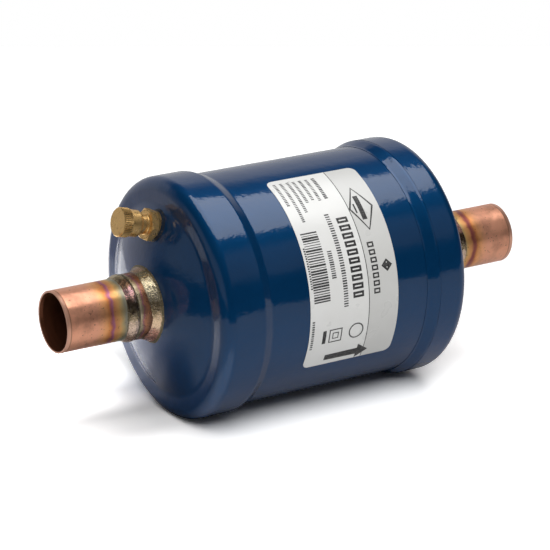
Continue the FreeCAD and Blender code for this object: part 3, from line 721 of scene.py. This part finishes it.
def printed_row_tree():
    """A row of upright bars of uneven width, laid round the shell."""
    graph, given = shape_tree("printed_row", (
        ("Count", "Int", 1), ("Start", "Vector", (0, 0, 0)), ("Pitch", "Float", MM),
        ("Bar Length", "Float", MM), ("Least Share", "Float", 0.5),
        ("Most Share", "Float", 0.9), ("Cuts", "Int", 2), ("Seed", "Int", 0),
        ("Radius", "Float", MM), ("Thickness", "Float", MM)))
    step = graph.out("ShaderNodeCombineXYZ", {"Y": graph.product(given["Pitch"], -1.0)})
    line = graph.out("GeometryNodeMeshLine", {
        "Count": given["Count"], "Start Location": given["Start"], "Offset": step})
    bar = graph.out("GeometryNodeMeshGrid", {
        "Size X": 1.0, "Size Y": 1.0, "Vertices X": 2, "Vertices Y": given["Cuts"]})
    share = graph.add("FunctionNodeRandomValue", {
        2: given["Least Share"], 3: given["Most Share"], "Seed": given["Seed"]}).outputs[1]
    scale = graph.out("ShaderNodeCombineXYZ", {
        "X": given["Bar Length"], "Y": graph.product(share, given["Pitch"]), "Z": 1.0})
    placed = graph.out("GeometryNodeInstanceOnPoints", {
        "Points": line, "Instance": bar, "Scale": scale})
    real = graph.out("GeometryNodeRealizeInstances", {"Geometry": placed})
    return close_tree(graph, given, wrapped(graph, given, real), smooth=False)


def printed_mark_tree():
    """Flat marks laid round the shell."""
    graph, given = shape_tree("printed_marks", (
        ("Radius", "Float", MM), ("Thickness", "Float", MM)))
    return close_tree(graph, given, wrapped(graph, given, given["Geometry"]), smooth=False)


def linked(name, data):
    """A new object in the scene."""
    made = bpy.data.objects.new(name, data)
    bpy.context.scene.collection.objects.link(made)
    return made


def mesh_of(name, corners, edges, faces):
    mesh = bpy.data.meshes.new(name)
    mesh.from_pydata(corners, edges, faces)
    return mesh


def grown(name, tree, values, seed_mesh=None):
    """Runs a tree on a mesh and returns the result as a plain mesh."""
    work = linked(name, seed_mesh or bpy.data.meshes.new(name))
    modifier = work.modifiers.new(name, "NODES")
    modifier.node_group = tree
    sockets = {item.name: item.identifier for item in tree.interface.items_tree
               if item.in_out == "INPUT"}
    for title, value in values.items():
        modifier[sockets[title]] = value
    work.update_tag()
    bpy.context.view_layer.update()
    seen = work.evaluated_get(bpy.context.evaluated_depsgraph_get())
    plain = bpy.data.meshes.new_from_object(seen)
    bpy.data.objects.remove(work)
    if not plain.polygons:
        raise RuntimeError(name + " came out empty")
    return plain


def tidy_mesh(mesh, sharp_deg=35.0):
    """Closes seams, turns the faces outward and keeps hard edges hard."""
    work = bmesh.new()
    work.from_mesh(mesh)
    bmesh.ops.remove_doubles(work, verts=work.verts, dist=0.0005 * MM)
    if work.calc_volume(signed=True) < 0:
        bmesh.ops.reverse_faces(work, faces=work.faces)
    work.to_mesh(mesh)
    work.free()
    mesh.shade_smooth()
    mesh.set_sharp_from_angle(angle=math.radians(sharp_deg))
    return mesh


def piece(name, mesh, slot, *replaced, body="root"):
    """Makes a mesh a piece that rides on a body and may stand for CAD nodes."""
    made = linked(name, mesh)
    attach(made, body)
    if replaced:
        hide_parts(*replaced)
    return made


def arc_points(centre, radius, start_deg, end_deg, count):
    """Outline points on a circle, from one angle to another."""
    points = []
    for i in range(count + 1):
        angle = math.radians(start_deg + (end_deg - start_deg) * i / count)
        points.append((centre[0] + radius * math.cos(angle),
                       centre[1] + radius * math.sin(angle)))
    return points


def line_points(start, end, count):
    """Outline points from start up to, but not with, end."""
    return [(start[0] + (end[0] - start[0]) * i / count,
             start[1] + (end[1] - start[1]) * i / count) for i in range(count)]


def turned_mesh(name, outline, sizes, material, seed, wave_size, wave_height):
    """A closed outline of (x, r) points as a turned skin. The tree sweeps it round a circle
    of the spindle's radius, so the outline is drawn that much nearer to the axis."""
    spindle = MM
    corners = [(r - spindle, -x, 0.0) for x, r in outline]
    edges = [(i, (i + 1) % len(corners)) for i in range(len(corners))]
    flat = mesh_of(name + "_outline", corners, edges, [])
    mesh = grown(name, bpy.data.node_groups["turned_outline"], {
        "Steps": sizes.steps, "Spindle": spindle, "Wave Size": wave_size,
        "Wave Height": wave_height, "Seed": seed, "Material": material}, flat)
    return tidy_mesh(mesh)


def dome_size(sizes):
    """Radius and middle of the dome, and the middle of the hollow beside it."""
    slope = math.radians(sizes.edge)
    hollow = (sizes.knuckle_x + sizes.knuckle + sizes.valley,
              BAND_R - sizes.knuckle - sizes.flat)
    edge_r = hollow[1] - sizes.valley * math.sin(slope)
    edge_x = hollow[0] - sizes.valley * math.cos(slope)
    dome = edge_r / math.sin(slope)
    return dome, edge_x - dome * math.cos(slope), hollow


def dome_height(r):
    """Distance of the dome's face from the drier's middle, at that radius."""
    dome, centre_x, _hollow = dome_size(bpy.context.scene.drier_shell)
    return centre_x + math.sqrt(dome ** 2 - r ** 2)


def cap_outline(lap, sizes):
    """Skirt, knuckle, hollow and dome of an end cap, outside and back along the inside."""
    hole_r = COLLAR_R + sizes.hole_gap
    dome, centre_x, hollow = dome_size(sizes)
    corner = (sizes.knuckle_x, BAND_R - sizes.knuckle - sizes.wave_height / 2)
    hole_deg = math.degrees(math.asin(hole_r / dome))
    inner_hole_deg = math.degrees(math.asin(hole_r / (dome - sizes.wall)))
    band_r = BAND_R - sizes.wave_height / 2
    # Without the flat ring, the arcs beside it share a point
    joined = 0 if sizes.flat else 1
    outside = line_points((lap, band_r), (sizes.knuckle_x, band_r), 6)
    outside += arc_points(corner, sizes.knuckle, 90, 0, 24)
    outside += arc_points(hollow, sizes.valley, 180, 180 + sizes.edge, 16)[joined:]
    outside += arc_points((centre_x, 0), dome, sizes.edge, hole_deg, 20)[1:]
    inside = arc_points((centre_x, 0), dome - sizes.wall, inner_hole_deg, sizes.edge, 8)
    inside += arc_points(hollow, sizes.valley + sizes.wall, 180 + sizes.edge, 180, 6)[1:]
    inside += arc_points(corner, sizes.knuckle - sizes.wall, 0, 90, 8)[joined:]
    inside.append((lap, BAND_R - sizes.wall))
    return outside + inside


def weld_outline(lap, sizes):
    """The lap weld: from the shell body up to the skirt, a slope between two bends."""
    slope = math.radians(sizes.weld_slope)
    bend = sizes.weld_bend
    toe_r = BODY_R + sizes.weld_toe
    band_r = BAND_R - sizes.weld_wave / 2
    straight = (band_r - toe_r - 2 * bend * (1 - math.cos(slope))) / math.sin(slope)
    foot_x = lap - 2 * bend * math.sin(slope) - straight * math.cos(slope)
    hollow = arc_points((foot_x, toe_r + bend), bend, -90, -90 + sizes.weld_slope, 8)
    crown = arc_points((lap, band_r - bend), bend, 90 + sizes.weld_slope, 90, 8)
    return ([(foot_x, BODY_R)] + hollow[:-1] + line_points(hollow[-1], crown[0], 6) + crown
            + [(lap, BODY_R)])


def mirrored(outline):
    """The same outline at the inlet end."""
    return [(-x, r) for x, r in reversed(outline)]


def shell_outline(wall):
    """The plain tube of the shell body."""
    low, high = BODY_LOW.x, BODY_HIGH.x
    outside = line_points((low, BODY_R), (high, BODY_R), 24) + [(high, BODY_R)]
    return outside + [(high, BODY_R - wall), (low, BODY_R - wall)]


def lobe(degrees, middle, width, height):
    """A smooth hump round an angle."""
    away = (degrees - middle + 180) % 360 - 180
    return height * math.exp(-(away / width) ** 2)


def swell(degrees, count, phase, height):
    """A swell that comes round that many times."""
    return height * math.sin(math.radians(count * degrees + phase))


def ring_mesh(name, section, steps):
    """A closed bead round the X axis; section(degrees) gives its (x, r) loop there, by
    degrees from -Y towards +Z."""
    corners, faces = [], []
    for i in range(steps):
        degrees = 360 * i / steps
        angle = math.radians(degrees)
        loop = section(degrees)
        count = len(loop)
        corners += [(x, -r * math.cos(angle), r * math.sin(angle)) for x, r in loop]
        here, there = i * count, (i + 1) % steps * count
        for j in range(count):
            k = (j + 1) % count
            faces.append((here + j, here + k, there + k, there + j))
    return tidy_mesh(mesh_of(name, corners, [], faces))


def bead_piece(name, section, sizes, material, node, seed):
    """A bead of braze: its own section, then lumps and pits, in place of a CAD bead."""
    seed_mesh = ring_mesh(name + "_smooth", section, sizes.steps)
    mesh = grown(name, bpy.data.node_groups["rough_bead"], {
        "Lump Size": sizes.lump_size, "Lump Height": sizes.lump_height,
        "Grain Size": sizes.grain_size, "Grain Height": sizes.grain_height,
        "Seed": seed, "Material": material}, seed_mesh)
    return piece(name, tidy_mesh(mesh, 60), "braze", node)


class DRIER_OT_shell(bpy.types.Operator):
    """Enamelled end caps, lap welds and shell body as smooth turned skins"""
    bl_idname = "drier.shell"
    bl_label = "Painted shell"

    def execute(self, context):
        sizes = context.scene.drier_shell
        turned_tree()
        paint = enamel_finish(sizes)
        steel_wave = (sizes.wave_size, sizes.wave_height)
        weld_wave = (sizes.weld_ripple, sizes.weld_wave)
        for seed, (node, outline, unevenness) in enumerate((
                ("inlet_end_cap", mirrored(cap_outline(INLET_LAP, sizes)), steel_wave),
                ("outlet_end_cap", cap_outline(OUTLET_LAP, sizes), steel_wave),
                ("inlet_seam_weld", mirrored(weld_outline(INLET_LAP, sizes)), weld_wave),
                ("outlet_seam_weld", weld_outline(OUTLET_LAP, sizes), weld_wave),
                ("shell_body", shell_outline(sizes.body_wall), steel_wave))):
            mesh = turned_mesh(node + "_skin", outline, sizes, paint, float(seed), *unevenness)
            piece(node + "_skin", mesh, "blue_enamel", node)
        return {"FINISHED"}


class DRIER_OT_copper(bpy.types.Operator):
    """Copper stubs and plated collars with their heat tint"""
    bl_idname = "drier.copper"
    bl_label = "Copper ends"

    def execute(self, context):
        dress(copper_finish(context.scene.drier_copper), "inlet_stub", "outlet_stub")
        dress(collar_finish(), "inlet_collar", "outlet_collar")
        return {"FINISHED"}


def stub_bead(degrees, sizes, side, run):
    """Section of the bead over the collar's end: a low hump, sunk a little in both."""
    sunk, foot_r, steps = 0.12 * MM, STUB_R - 0.4 * MM, 24
    start = COLLAR_END - 0.5 * MM + swell(degrees, 2, 40, 0.35 * MM)
    width = sizes.stub_width + run + swell(degrees, 3, 110, 0.6 * MM)
    loop = []
    for i in range(steps + 1):
        share = i / steps
        base = COLLAR_R + (STUB_R - COLLAR_R) * min(1.0, share * 1.25)
        hump = (sizes.stub_hump + 0.12 * run) * math.sin(math.pi * min(1.0, share * 1.04))
        loop.append((start + width * share, base - sunk + hump))
    loop += [(start + width, foot_r), (start, foot_r)]
    return [(side * x, r) for x, r in loop]


def collar_bead(degrees, sizes, side):
    """Section of the fillet up the collar, a little wider where the torch let it run."""
    steps, foot_r = 20, COLLAR_R - 0.3 * MM
    spread = sizes.foot + lobe(degrees, 130, 26, 1.0 * MM) + lobe(degrees, -66, 26, 1.3 * MM)
    climb = sizes.climb + lobe(degrees, 50, 40, 0.9 * MM) + lobe(degrees, -60, 24, 1.6 * MM)
    climb -= lobe(degrees, 140, 25, 1.2 * MM) + lobe(degrees, -12, 18, 0.8 * MM)
    foot_x = dome_height(COLLAR_R + spread) - 0.3 * MM
    loop = [(foot_x, COLLAR_R + spread)]
    for i in range(1, steps + 1):
        turn = math.pi / 2 * i / steps
        r = COLLAR_R + spread * (1 - math.sin(turn)) + 0.62 * MM * math.sin(2 * turn)
        loop.append((dome_height(r) + climb * (1 - math.cos(turn)), r))
    loop += [(loop[-1][0], foot_r), (foot_x, foot_r)]
    return [(side * x, r) for x, r in loop]


class DRIER_OT_braze(bpy.types.Operator):
    """Beads of braze between stub, collar and dome, and round the valve"""
    bl_idname = "drier.braze"
    bl_label = "Brazed joints"

    def execute(self, context):
        sizes = context.scene.drier_braze
        rough_tree()
        collar_metal = braze_finish("drier_collar_braze", sizes, COLLAR_BEAD_HUES_AND_SHADING,
                                    *COLLAR_CLEAN)
        # The valve's fillet is painted near-black as the shade under the hex
        dress(fillet_shade_finish(), "access_valve_braze")
        for end, side, run, seed in (("inlet", -1, 0.0, 0), ("outlet", 1, sizes.outlet_run, 1)):
            stub_metal = braze_finish("drier_" + end + "_stub_braze", sizes, STUB_BEAD_HUES_AND_SHADING,
                                      STUB_CLEAN[0], STUB_CLEAN[1] + run)
            bead_piece(end + "_stub_bead", partial(stub_bead, sizes=sizes, side=side, run=run),
                       sizes, stub_metal, end + "_stub_braze", 3.0 + seed)
            bead_piece(end + "_collar_bead", partial(collar_bead, sizes=sizes, side=side),
                       sizes, collar_metal, end + "_collar_braze", 7.0 + seed)
        return {"FINISHED"}


def on_valve_axis(depth):
    """Places a shape drawn up the Z axis on the valve, that far below its nose."""
    turn = Vector((0, 0, 1)).rotation_difference(VALVE_AXIS).to_matrix().to_4x4()
    return Matrix.Translation(VALVE_NOSE - VALVE_AXIS * depth) @ turn


class DRIER_OT_valve(bpy.types.Operator):
    """Brass access valve with the thread under its cap"""
    bl_idname = "drier.valve"
    bl_label = "Access valve"

    def execute(self, context):
        sizes = context.scene.drier_valve
        wire_tree()
        brass = brass_finish(sizes)
        dress(brass, "access_valve_body", "valve_cap", "valve_core_body")
        thread = grown("valve_thread", bpy.data.node_groups["wound_wire"], {
            "Turns": sizes.thread_length / sizes.pitch, "Coil Radius": sizes.thread_r,
            "Height": sizes.thread_length, "Wire Radius": sizes.ridge, "Sides": 4,
            "Steps Per Turn": 72, "Material": brass})
        thread.transform(on_valve_axis(sizes.thread_length + sizes.thread_start))
        piece("valve_thread", tidy_mesh(thread, 20), "brass")
        return {"FINISHED"}


# Rows of print: middle and length of its bars along X in mm, first and last angle,
# number of bars, least and most share of the pitch that a bar takes
ROWS = (
    ("subtitle", -1.35, 2.5, 47.7, 0.8, 38, 0.40, 0.68),
    ("short_line", -6.9, 2.5, 29.5, 15.7, 13, 0.42, 0.66),
    ("bars", -14.9, 9.2, 40.2, 5.3, 28, 0.28, 0.82),
    ("bar_figures", -20.2, 1.0, 33.0, 12.4, 17, 0.45, 0.7),
    ("side_figures", -19.9, 1.4, -3.0, -19.0, 13, 0.45, 0.7),
    ("row_1", 3.4, 1.9, 71.0, 55.9, 13, 0.55, 0.82),
    ("row_2", -0.5, 1.6, 70.8, 55.4, 15, 0.45, 0.72),
    ("row_3", -4.1, 1.6, 71.0, 56.5, 14, 0.45, 0.72),
    ("row_4", -7.7, 1.6, 71.1, 55.5, 15, 0.45, 0.72),
    ("row_5", -10.9, 1.6, 71.3, 50.2, 20, 0.45, 0.72),
    ("row_6", -14.7, 1.6, 71.3, 45.3, 25, 0.45, 0.72),
    ("row_7", -18.4, 1.6, 71.3, 55.5, 15, 0.45, 0.72),
    ("emblem_bar", 18.6, 2.7, 54.5, 41.0, 1, 0.98, 1.0),
    ("emblem_line", 15.6, 0.9, 50.2, 45.0, 1, 0.98, 1.0),
    ("thick_bar", -13.0, 2.0, -9.4, -16.6, 1, 0.98, 1.0),
    ("divider", 12.0, 0.40, 74.0, -30.5, 1, 0.995, 1.0),
)


def arc_length(degrees):
    """Length round the label's face, from -Y up to that angle."""
    return math.radians(degrees) * LABEL_R


def oval(_angle):
    return 1.0


def square(angle):
    return 1 / max(abs(math.cos(angle)), abs(math.sin(angle)))


def diamond(angle):
    return 1 / (abs(math.cos(angle)) + abs(math.sin(angle)))


def strip(points_low, points_high):
    """Corners and faces between two rows of as many points."""
    count = len(points_low)
    corners = [(x, y, 0.0) for x, y in [*points_low, *points_high]]
    faces = [(i, i + 1, count + i + 1, count + i) for i in range(count - 1)]
    return corners, faces


def ring_outline(form, x, degrees, half_x, half_y, line, count=64):
    """A plain ring of that form, all in mm but the angle."""
    middle_y = arc_length(degrees) / MM
    loops = []
    for grow in (-line / 2, line / 2):
        loop = []
        for i in range(count + 1):
            angle = 2 * math.pi * i / count
            reach = form(angle)
            loop.append((MM * (x + (half_x + grow) * reach * math.cos(angle)),
                         MM * (middle_y + (half_y + grow) * reach * math.sin(angle))))
        loops.append(loop)
    return strip(*loops)


def flow_arrow(tail, tip, head, half_shaft, half_head, degrees, steps=16):
    """An arrow along X: rows of points across it, from its tail to its tip side."""
    left, right = [], []
    middle = arc_length(degrees)
    for i in range(2 * steps + 1):
        across = half_head * (i / steps - 1)
        in_shaft = abs(across) <= half_shaft
        left.append((MM * (tail if in_shaft else head), middle + MM * across))
        right.append((MM * (tip - (tip - head) * abs(across) / half_head),
                      middle + MM * across))
    return strip(left, right)


def blank_word(x, half_x, first, last, count, line):
    """A word's place held by upright plain rings, as many as it had letters."""
    pitch = (first - last) / count
    half_y = arc_length(pitch) / MM * 0.36 - line / 2
    return [ring_outline(square, x, first - pitch * (i + 0.5), half_x - line / 2, half_y, line)
            for i in range(count)]


def marks_mesh():
    """The arrow, the ring, the squares and the places of words as one flat mesh."""
    shapes = (
        *blank_word(5.9, 3.1, 45.0, 4.0, 10, 1.15),
        *blank_word(16.7, 1.8, 30.3, 4.0, 7, 0.8),
        flow_arrow(-10.3, 14.8, 8.2, 1.9, 4.6, -25.9),
        ring_outline(oval, 5.3, -12.7, 3.9, 3.9, 0.7),
        ring_outline(square, -6.6, -13.0, 3.4, 3.4, 0.6),
        ring_outline(square, -6.6, -13.0, 1.5, 1.5, 0.5),
        ring_outline(diamond, 19.0, 47.6, 6.4, 12.0, 1.1),
        ring_outline(diamond, 23.6, 17.3, 1.56, 1.56, 3.1))
    corners, faces = [], []
    for points, quads in shapes:
        base = len(corners)
        corners += points
        faces += [tuple(base + i for i in quad) for quad in quads]
    mesh = mesh_of("label_marks_flat", corners, [], faces)
    work = bmesh.new()
    work.from_mesh(mesh)
    bmesh.ops.dissolve_degenerate(work, edges=work.edges, dist=0.002 * MM)
    for face in work.faces:
        if face.normal.z < 0:
            face.normal_flip()
    work.to_mesh(mesh)
    work.free()
    return mesh


class DRIER_OT_label(bpy.types.Operator):
    """Label film and its plain print"""
    bl_idname = "drier.label"
    bl_label = "Label"

    def execute(self, context):
        sizes = context.scene.drier_label
        dress(film_finish(sizes), "label")
        print_values = {"Radius": LABEL_R, "Thickness": sizes.ink_thickness,
                        "Material": ink_finish(sizes)}
        tree = printed_row_tree()
        for seed, row in enumerate(ROWS, sizes.seed):
            name, x, bar, first, last, count, least, most = row
            pitch = arc_length(first - last) / count
            # A wide bar is cut at every millimetre, so that it follows the shell
            cuts = 2 + int(pitch / MM)
            mesh = grown("label_" + name, tree, {
                "Count": count, "Start": (x * MM, arc_length(first) - pitch / 2, 0.0),
                "Pitch": pitch, "Bar Length": bar * MM, "Least Share": least,
                "Most Share": most, "Cuts": cuts, "Seed": seed, **print_values})
            piece("label_" + name, mesh, "label_film")
        marks = grown("label_marks", printed_mark_tree(), print_values, marks_mesh())
        piece("label_marks", marks, "label_film")
        return {"FINISHED"}


# Plain materials: darker and paler tone, roughness, grain and relief, and their nodes
PLAIN = {
    "drier_felt": (((0.50, 0.48, 0.44), (0.68, 0.66, 0.61), 0.9, 0.5 * MM, 0.12 * MM),
                   ("inlet_felt_gasket", "outlet_felt_gasket")),
    "drier_fibre": (((0.74, 0.73, 0.66), (0.88, 0.87, 0.82), 0.8, 0.8 * MM, 0.15 * MM),
                    ("filter_sleeve",)),
    "drier_plastic": (((0.78, 0.78, 0.75), (0.86, 0.86, 0.84), 0.4, 0.4 * MM, 0.01 * MM),
                      ("valve_core_gasket",)),
    "drier_rubber": (((0.018, 0.018, 0.018), (0.035, 0.034, 0.033), 0.6, 0.3 * MM, 0.01 * MM),
                     ("valve_cap_seal", "valve_core_seat_seal")),
}


class DRIER_OT_inside(bpy.types.Operator):
    """Pieces inside the shell and the valve, with round spring wire"""
    bl_idname = "drier.inside"
    bl_label = "Inside"

    def execute(self, context):
        sizes = context.scene.drier_inside
        steel = steel_finish()
        dress(steel, "inlet_retainer_plate", "outlet_support_plate", "perforated_tube",
              "valve_core_pin")
        dress(block_finish(), "desiccant_core")
        for name, (looks, nodes) in PLAIN.items():
            dress(plain_finish(name, *looks), *nodes)
        low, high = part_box("hold_down_spring")
        place = Matrix.Translation((low.x + sizes.wire, 0, 0)) @ Matrix.Rotation(
            math.pi / 2, 4, "Y")
        self.spring("hold_down_spring", place, high.z - sizes.wire,
                    high.x - low.x - 2 * sizes.wire, sizes.wire, sizes.turns, sizes.sides, steel)
        self.core_spring(sizes, steel)
        return {"FINISHED"}

    def core_spring(self, sizes, steel):
        """The valve core's spring, which the pin's press shortens. Its slanted box is its
        length plus what its width adds."""
        low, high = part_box("valve_core_spring")
        middle = (low + high) / 2
        width = high.y - low.y
        span = (high - low).dot(Vector((abs(VALVE_AXIS.x), 0, abs(VALVE_AXIS.z))))
        free_length = span - 2 * width * abs(VALVE_AXIS.x * VALVE_AXIS.z)
        height = free_length - 2 * sizes.core_wire
        depth = (VALVE_NOSE - middle).dot(VALVE_AXIS) + height / 2
        made = self.spring("valve_core_spring", on_valve_axis(depth),
                           width / 2 - sizes.core_wire, height, sizes.core_wire,
                           sizes.core_turns, sizes.sides, steel)
        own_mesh(made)

    def spring(self, node, place, coil_r, height, wire, turns, sides, steel):
        mesh = grown(node + "_wire", bpy.data.node_groups["wound_wire"], {
            "Turns": turns, "Coil Radius": coil_r, "Height": height, "Wire Radius": wire,
            "Sides": sides, "Steps Per Turn": 64, "Material": steel})
        mesh.transform(place)
        return piece(node + "_wire", tidy_mesh(mesh, 50), "steel", node)


# Bright parts of the room: each edge is a part of a direction, where the light starts on it
# and where it is full
BACKDROP = (("behind", 0.45, 0.80), ("z", 0.70, 0.46))
SIDE_WALL = (("x", -0.60, -0.85), ("z", -0.06, 0.02), ("z", 0.60, 0.30))
FRONT_WALL = (("y", -0.30, -0.50), ("z", 0.28, 0.44), ("z", 0.75, 0.66), ("x", 0.05, 0.35))


def studio_world(sizes):
    """White backdrop behind the drier, a dim wall at its left and a dark room elsewhere."""
    world = bpy.data.worlds.new("drier_room")
    bpy.context.scene.world = world
    world.use_nodes = True
    graph = Graph(world.node_tree)
    sky = world.node_tree.nodes["Background"]
    direction = graph.add("ShaderNodeTexCoord").outputs["Generated"]
    x, y, z = graph.add("ShaderNodeSeparateXYZ", {"Vector": direction}).outputs
    axes = {"x": x, "y": y, "z": z, "behind": graph.weighted(x, y, 0.25, 1.0)}
    room = graph.total(graph.patch(axes, BACKDROP, sizes.backdrop),
                       graph.patch(axes, SIDE_WALL, sizes.side_wall),
                       graph.patch(axes, FRONT_WALL, sizes.front_wall), sizes.room)
    rays = graph.add("ShaderNodeLightPath")
    seen = graph.out("ShaderNodeMix", {0: rays.outputs["Is Camera Ray"], 2: room, 3: 1.0})
    graph.put(sky, "Strength", seen)
    graph.put(sky, "Color", (1.0, 1.0, 1.0, 1.0))


# Patches of the table, the same way in mm: painted light and painted shadow on it. The first
# four are seen in reflections and the others by the camera
BEHIND_INLET = (("x", -25, -50), ("x", -190, -110), ("y", 30, 90), ("y", 420, 300))
OPEN_FRONT = (("x", -58, -70), ("x", -126, -108), ("y", -22, -42), ("y", -150, -100))
BESIDE_DOME = (("y", 14, 34), ("y", 75, 45), ("x", -120, -70), ("x", -40, -60))
BELOW_STUB = (("aslant", 26, 2), ("aslant", -26, -10), ("x", -175, -90), ("x", -45, -60))
UNDER_INLET = (("x", -48, -66), ("y", 12, 38), ("y", 120, 85))
UNDER_STUB = (("x", -60, -78), ("x", -120, -85), ("y", 32, 8), ("y", -30, -8))


def floor_finish(sizes):
    """Pale table: the camera sees it lifted to white, and reflections see it brighter behind;
    patches paint light and shadow on it.
    """
    floor = Finish("drier_floor")
    bearing = math.radians(sizes.azimuth)
    depth = floor.weighted(floor.x, floor.y, -math.sin(bearing), math.cos(bearing))
    aslant = floor.weighted(floor.total(floor.x, 80 * MM), floor.y, 0.35, 1.0)
    axes = {"x": floor.x, "y": floor.y, "aslant": aslant}

    def patch(edges, strength):
        return floor.patch(axes, edges, strength, MM)

    mirrored_share = floor.total(
        floor.eased(depth, -60 * MM, 80 * MM, sizes.table_front, sizes.table_back),
        patch(BEHIND_INLET, sizes.table_gleam), patch(OPEN_FRONT, sizes.open_table))
    patches = floor.total(patch(BESIDE_DOME, sizes.end_gleam),
                          patch(BELOW_STUB, -sizes.stub_shadow))
    mirrored_share = floor.maths("MULTIPLY_ADD", mirrored_share, patches, mirrored_share)
    near = floor.eased(depth, 60 * MM, 170 * MM, sizes.floor_lift - sizes.mid_lift, 0.0)
    far = floor.eased(depth, 150 * MM, 720 * MM, sizes.mid_lift, sizes.far_lift)
    lift = floor.total(near, far, patch(UNDER_INLET, sizes.corner_lift),
                       patch(UNDER_STUB, -sizes.stub_shade))
    rays = floor.add("ShaderNodeLightPath")
    share = floor.out("ShaderNodeMix", {0: rays.outputs["Is Camera Ray"], 2: 1.0, 3: lift})
    share = floor.out("ShaderNodeMix", {
        0: rays.outputs["Is Glossy Ray"], 2: share, 3: mirrored_share})
    pale = floor.out("ShaderNodeVectorMath", {0: sizes.floor, "Scale": share},
                     operation="SCALE")
    floor.set(base_color=pale, roughness=1.0, specular_ior_level=0.0)
    return floor.material


# Floor's edges from the origin in the camera's bearing: left, right, near and far
FLOOR_LEFT, FLOOR_RIGHT, FLOOR_NEAR, FLOOR_FAR = -0.255, 0.8, -0.45, 0.70
SOFTBOX_WIDTH, SOFTBOX_PLACE, SOFTBOX_AIM = 0.98, (0.30, 0.0, 1.0), (0.30, 0.0, 0.0)
FILL_WIDTH, FILL_HEIGHT, FILL_PLACE = 1.4, 1.2, (-0.45, -1.05, 1.38)


def lamp(name, shape, width, height, radiance, place, aim):
    """An area lamp of a given radiance, aimed at a point. The camera doesn't see it."""
    data = bpy.data.lights.new(name, "AREA")
    data.shape = shape
    data.size = width
    data.size_y = height
    area = width * height * (math.pi / 4 if shape == "DISK" else 1.0)
    data.energy = radiance * area * math.pi
    made = linked(name, data)
    made.location = place
    made.rotation_mode = "QUATERNION"
    made.rotation_quaternion = (Vector(aim) - Vector(place)).to_track_quat("-Z", "Y")
    made.visible_camera = False
    return made


class DRIER_OT_stage(bpy.types.Operator):
    """Floor, lamps, room and camera"""
    bl_idname = "drier.stage"
    bl_label = "Studio"

    def execute(self, context):
        scene = context.scene
        sizes = scene.drier_stage
        scene.view_settings.view_transform = "Standard"
        studio_world(sizes)
        self.floor(sizes)
        lamp("softbox", "DISK", SOFTBOX_WIDTH, SOFTBOX_WIDTH, sizes.softbox, SOFTBOX_PLACE,
             SOFTBOX_AIM)
        fill = lamp("front_fill", "RECTANGLE", FILL_WIDTH, FILL_HEIGHT, sizes.fill, FILL_PLACE,
                    (0.0, 0.0, 0.0))
        fill.visible_glossy = False
        self.camera(scene, sizes)
        return {"FINISHED"}

    def floor(self, sizes):
        """Plain floor under the drier, with two edges along the camera's bearing."""
        bearing = math.radians(sizes.azimuth)
        corners = [(right * math.cos(bearing) - away * math.sin(bearing),
                    right * math.sin(bearing) + away * math.cos(bearing), CAD_BOX[0].z)
                   for right, away in ((FLOOR_LEFT, FLOOR_NEAR), (FLOOR_RIGHT, FLOOR_NEAR),
                                       (FLOOR_RIGHT, FLOOR_FAR), (FLOOR_LEFT, FLOOR_FAR))]
        mesh = mesh_of("studio_floor", corners, [], [(0, 1, 2, 3)])
        mesh.materials.append(floor_finish(sizes))
        floor = linked("studio_floor", mesh)

    def camera(self, scene, sizes):
        """Camera at the photograph's angle, looking at a point beside the origin."""
        azimuth = math.radians(sizes.azimuth)
        elevation = math.radians(sizes.elevation)
        back = Vector((math.sin(azimuth) * math.cos(elevation),
                       -math.cos(azimuth) * math.cos(elevation), math.sin(elevation)))
        right = Vector((math.cos(azimuth), math.sin(azimuth), 0.0))
        up = back.cross(right)
        data = bpy.data.cameras.new("camera")
        data.lens = sizes.focal
        data.sensor_width = 36.0
        made = linked("camera", data)
        turn = Matrix((right, up, back)).transposed().to_4x4()
        made.matrix_world = Matrix.Translation(
            back * sizes.distance - right * sizes.aim_right) @ turn
        scene.camera = made


class DRIER_PT_looks(bpy.types.Panel):
    """Shows each step's settings and its button"""
    bl_label = "Filter drier"
    bl_idname = "DRIER_PT_looks"
    bl_space_type = "VIEW_3D"
    bl_region_type = "UI"
    bl_category = "Drier"

    def draw(self, context):
        for step in STEPS:
            box = self.layout.box()
            settings = getattr(context.scene, "drier_" + step)
            for name in settings.bl_rna.properties.keys():
                if name not in {"rna_type", "name"}:
                    box.prop(settings, name)
            box.operator("drier." + step)


# Each step's settings and operator, in the order in which main runs them
STEPS = {
    "shell": (DrierShell, DRIER_OT_shell), "copper": (DrierCopper, DRIER_OT_copper),
    "braze": (DrierBraze, DRIER_OT_braze), "valve": (DrierValve, DRIER_OT_valve),
    "label": (DrierLabel, DRIER_OT_label), "inside": (DrierInside, DRIER_OT_inside),
    "stage": (DrierStage, DRIER_OT_stage)}


def register():
    for step, (group, operator) in STEPS.items():
        bpy.utils.register_class(group)
        bpy.utils.register_class(operator)
        setattr(bpy.types.Scene, "drier_" + step, PointerProperty(type=group))
    bpy.utils.register_class(DRIER_PT_looks)


def unregister():
    bpy.utils.unregister_class(DRIER_PT_looks)
    for step, (group, operator) in reversed(STEPS.items()):
        delattr(bpy.types.Scene, "drier_" + step)
        bpy.utils.unregister_class(operator)
        bpy.utils.unregister_class(group)


def main():
    register()
    for step in STEPS:
        getattr(bpy.ops.drier, step)()


if __name__ == "__main__":
    main()
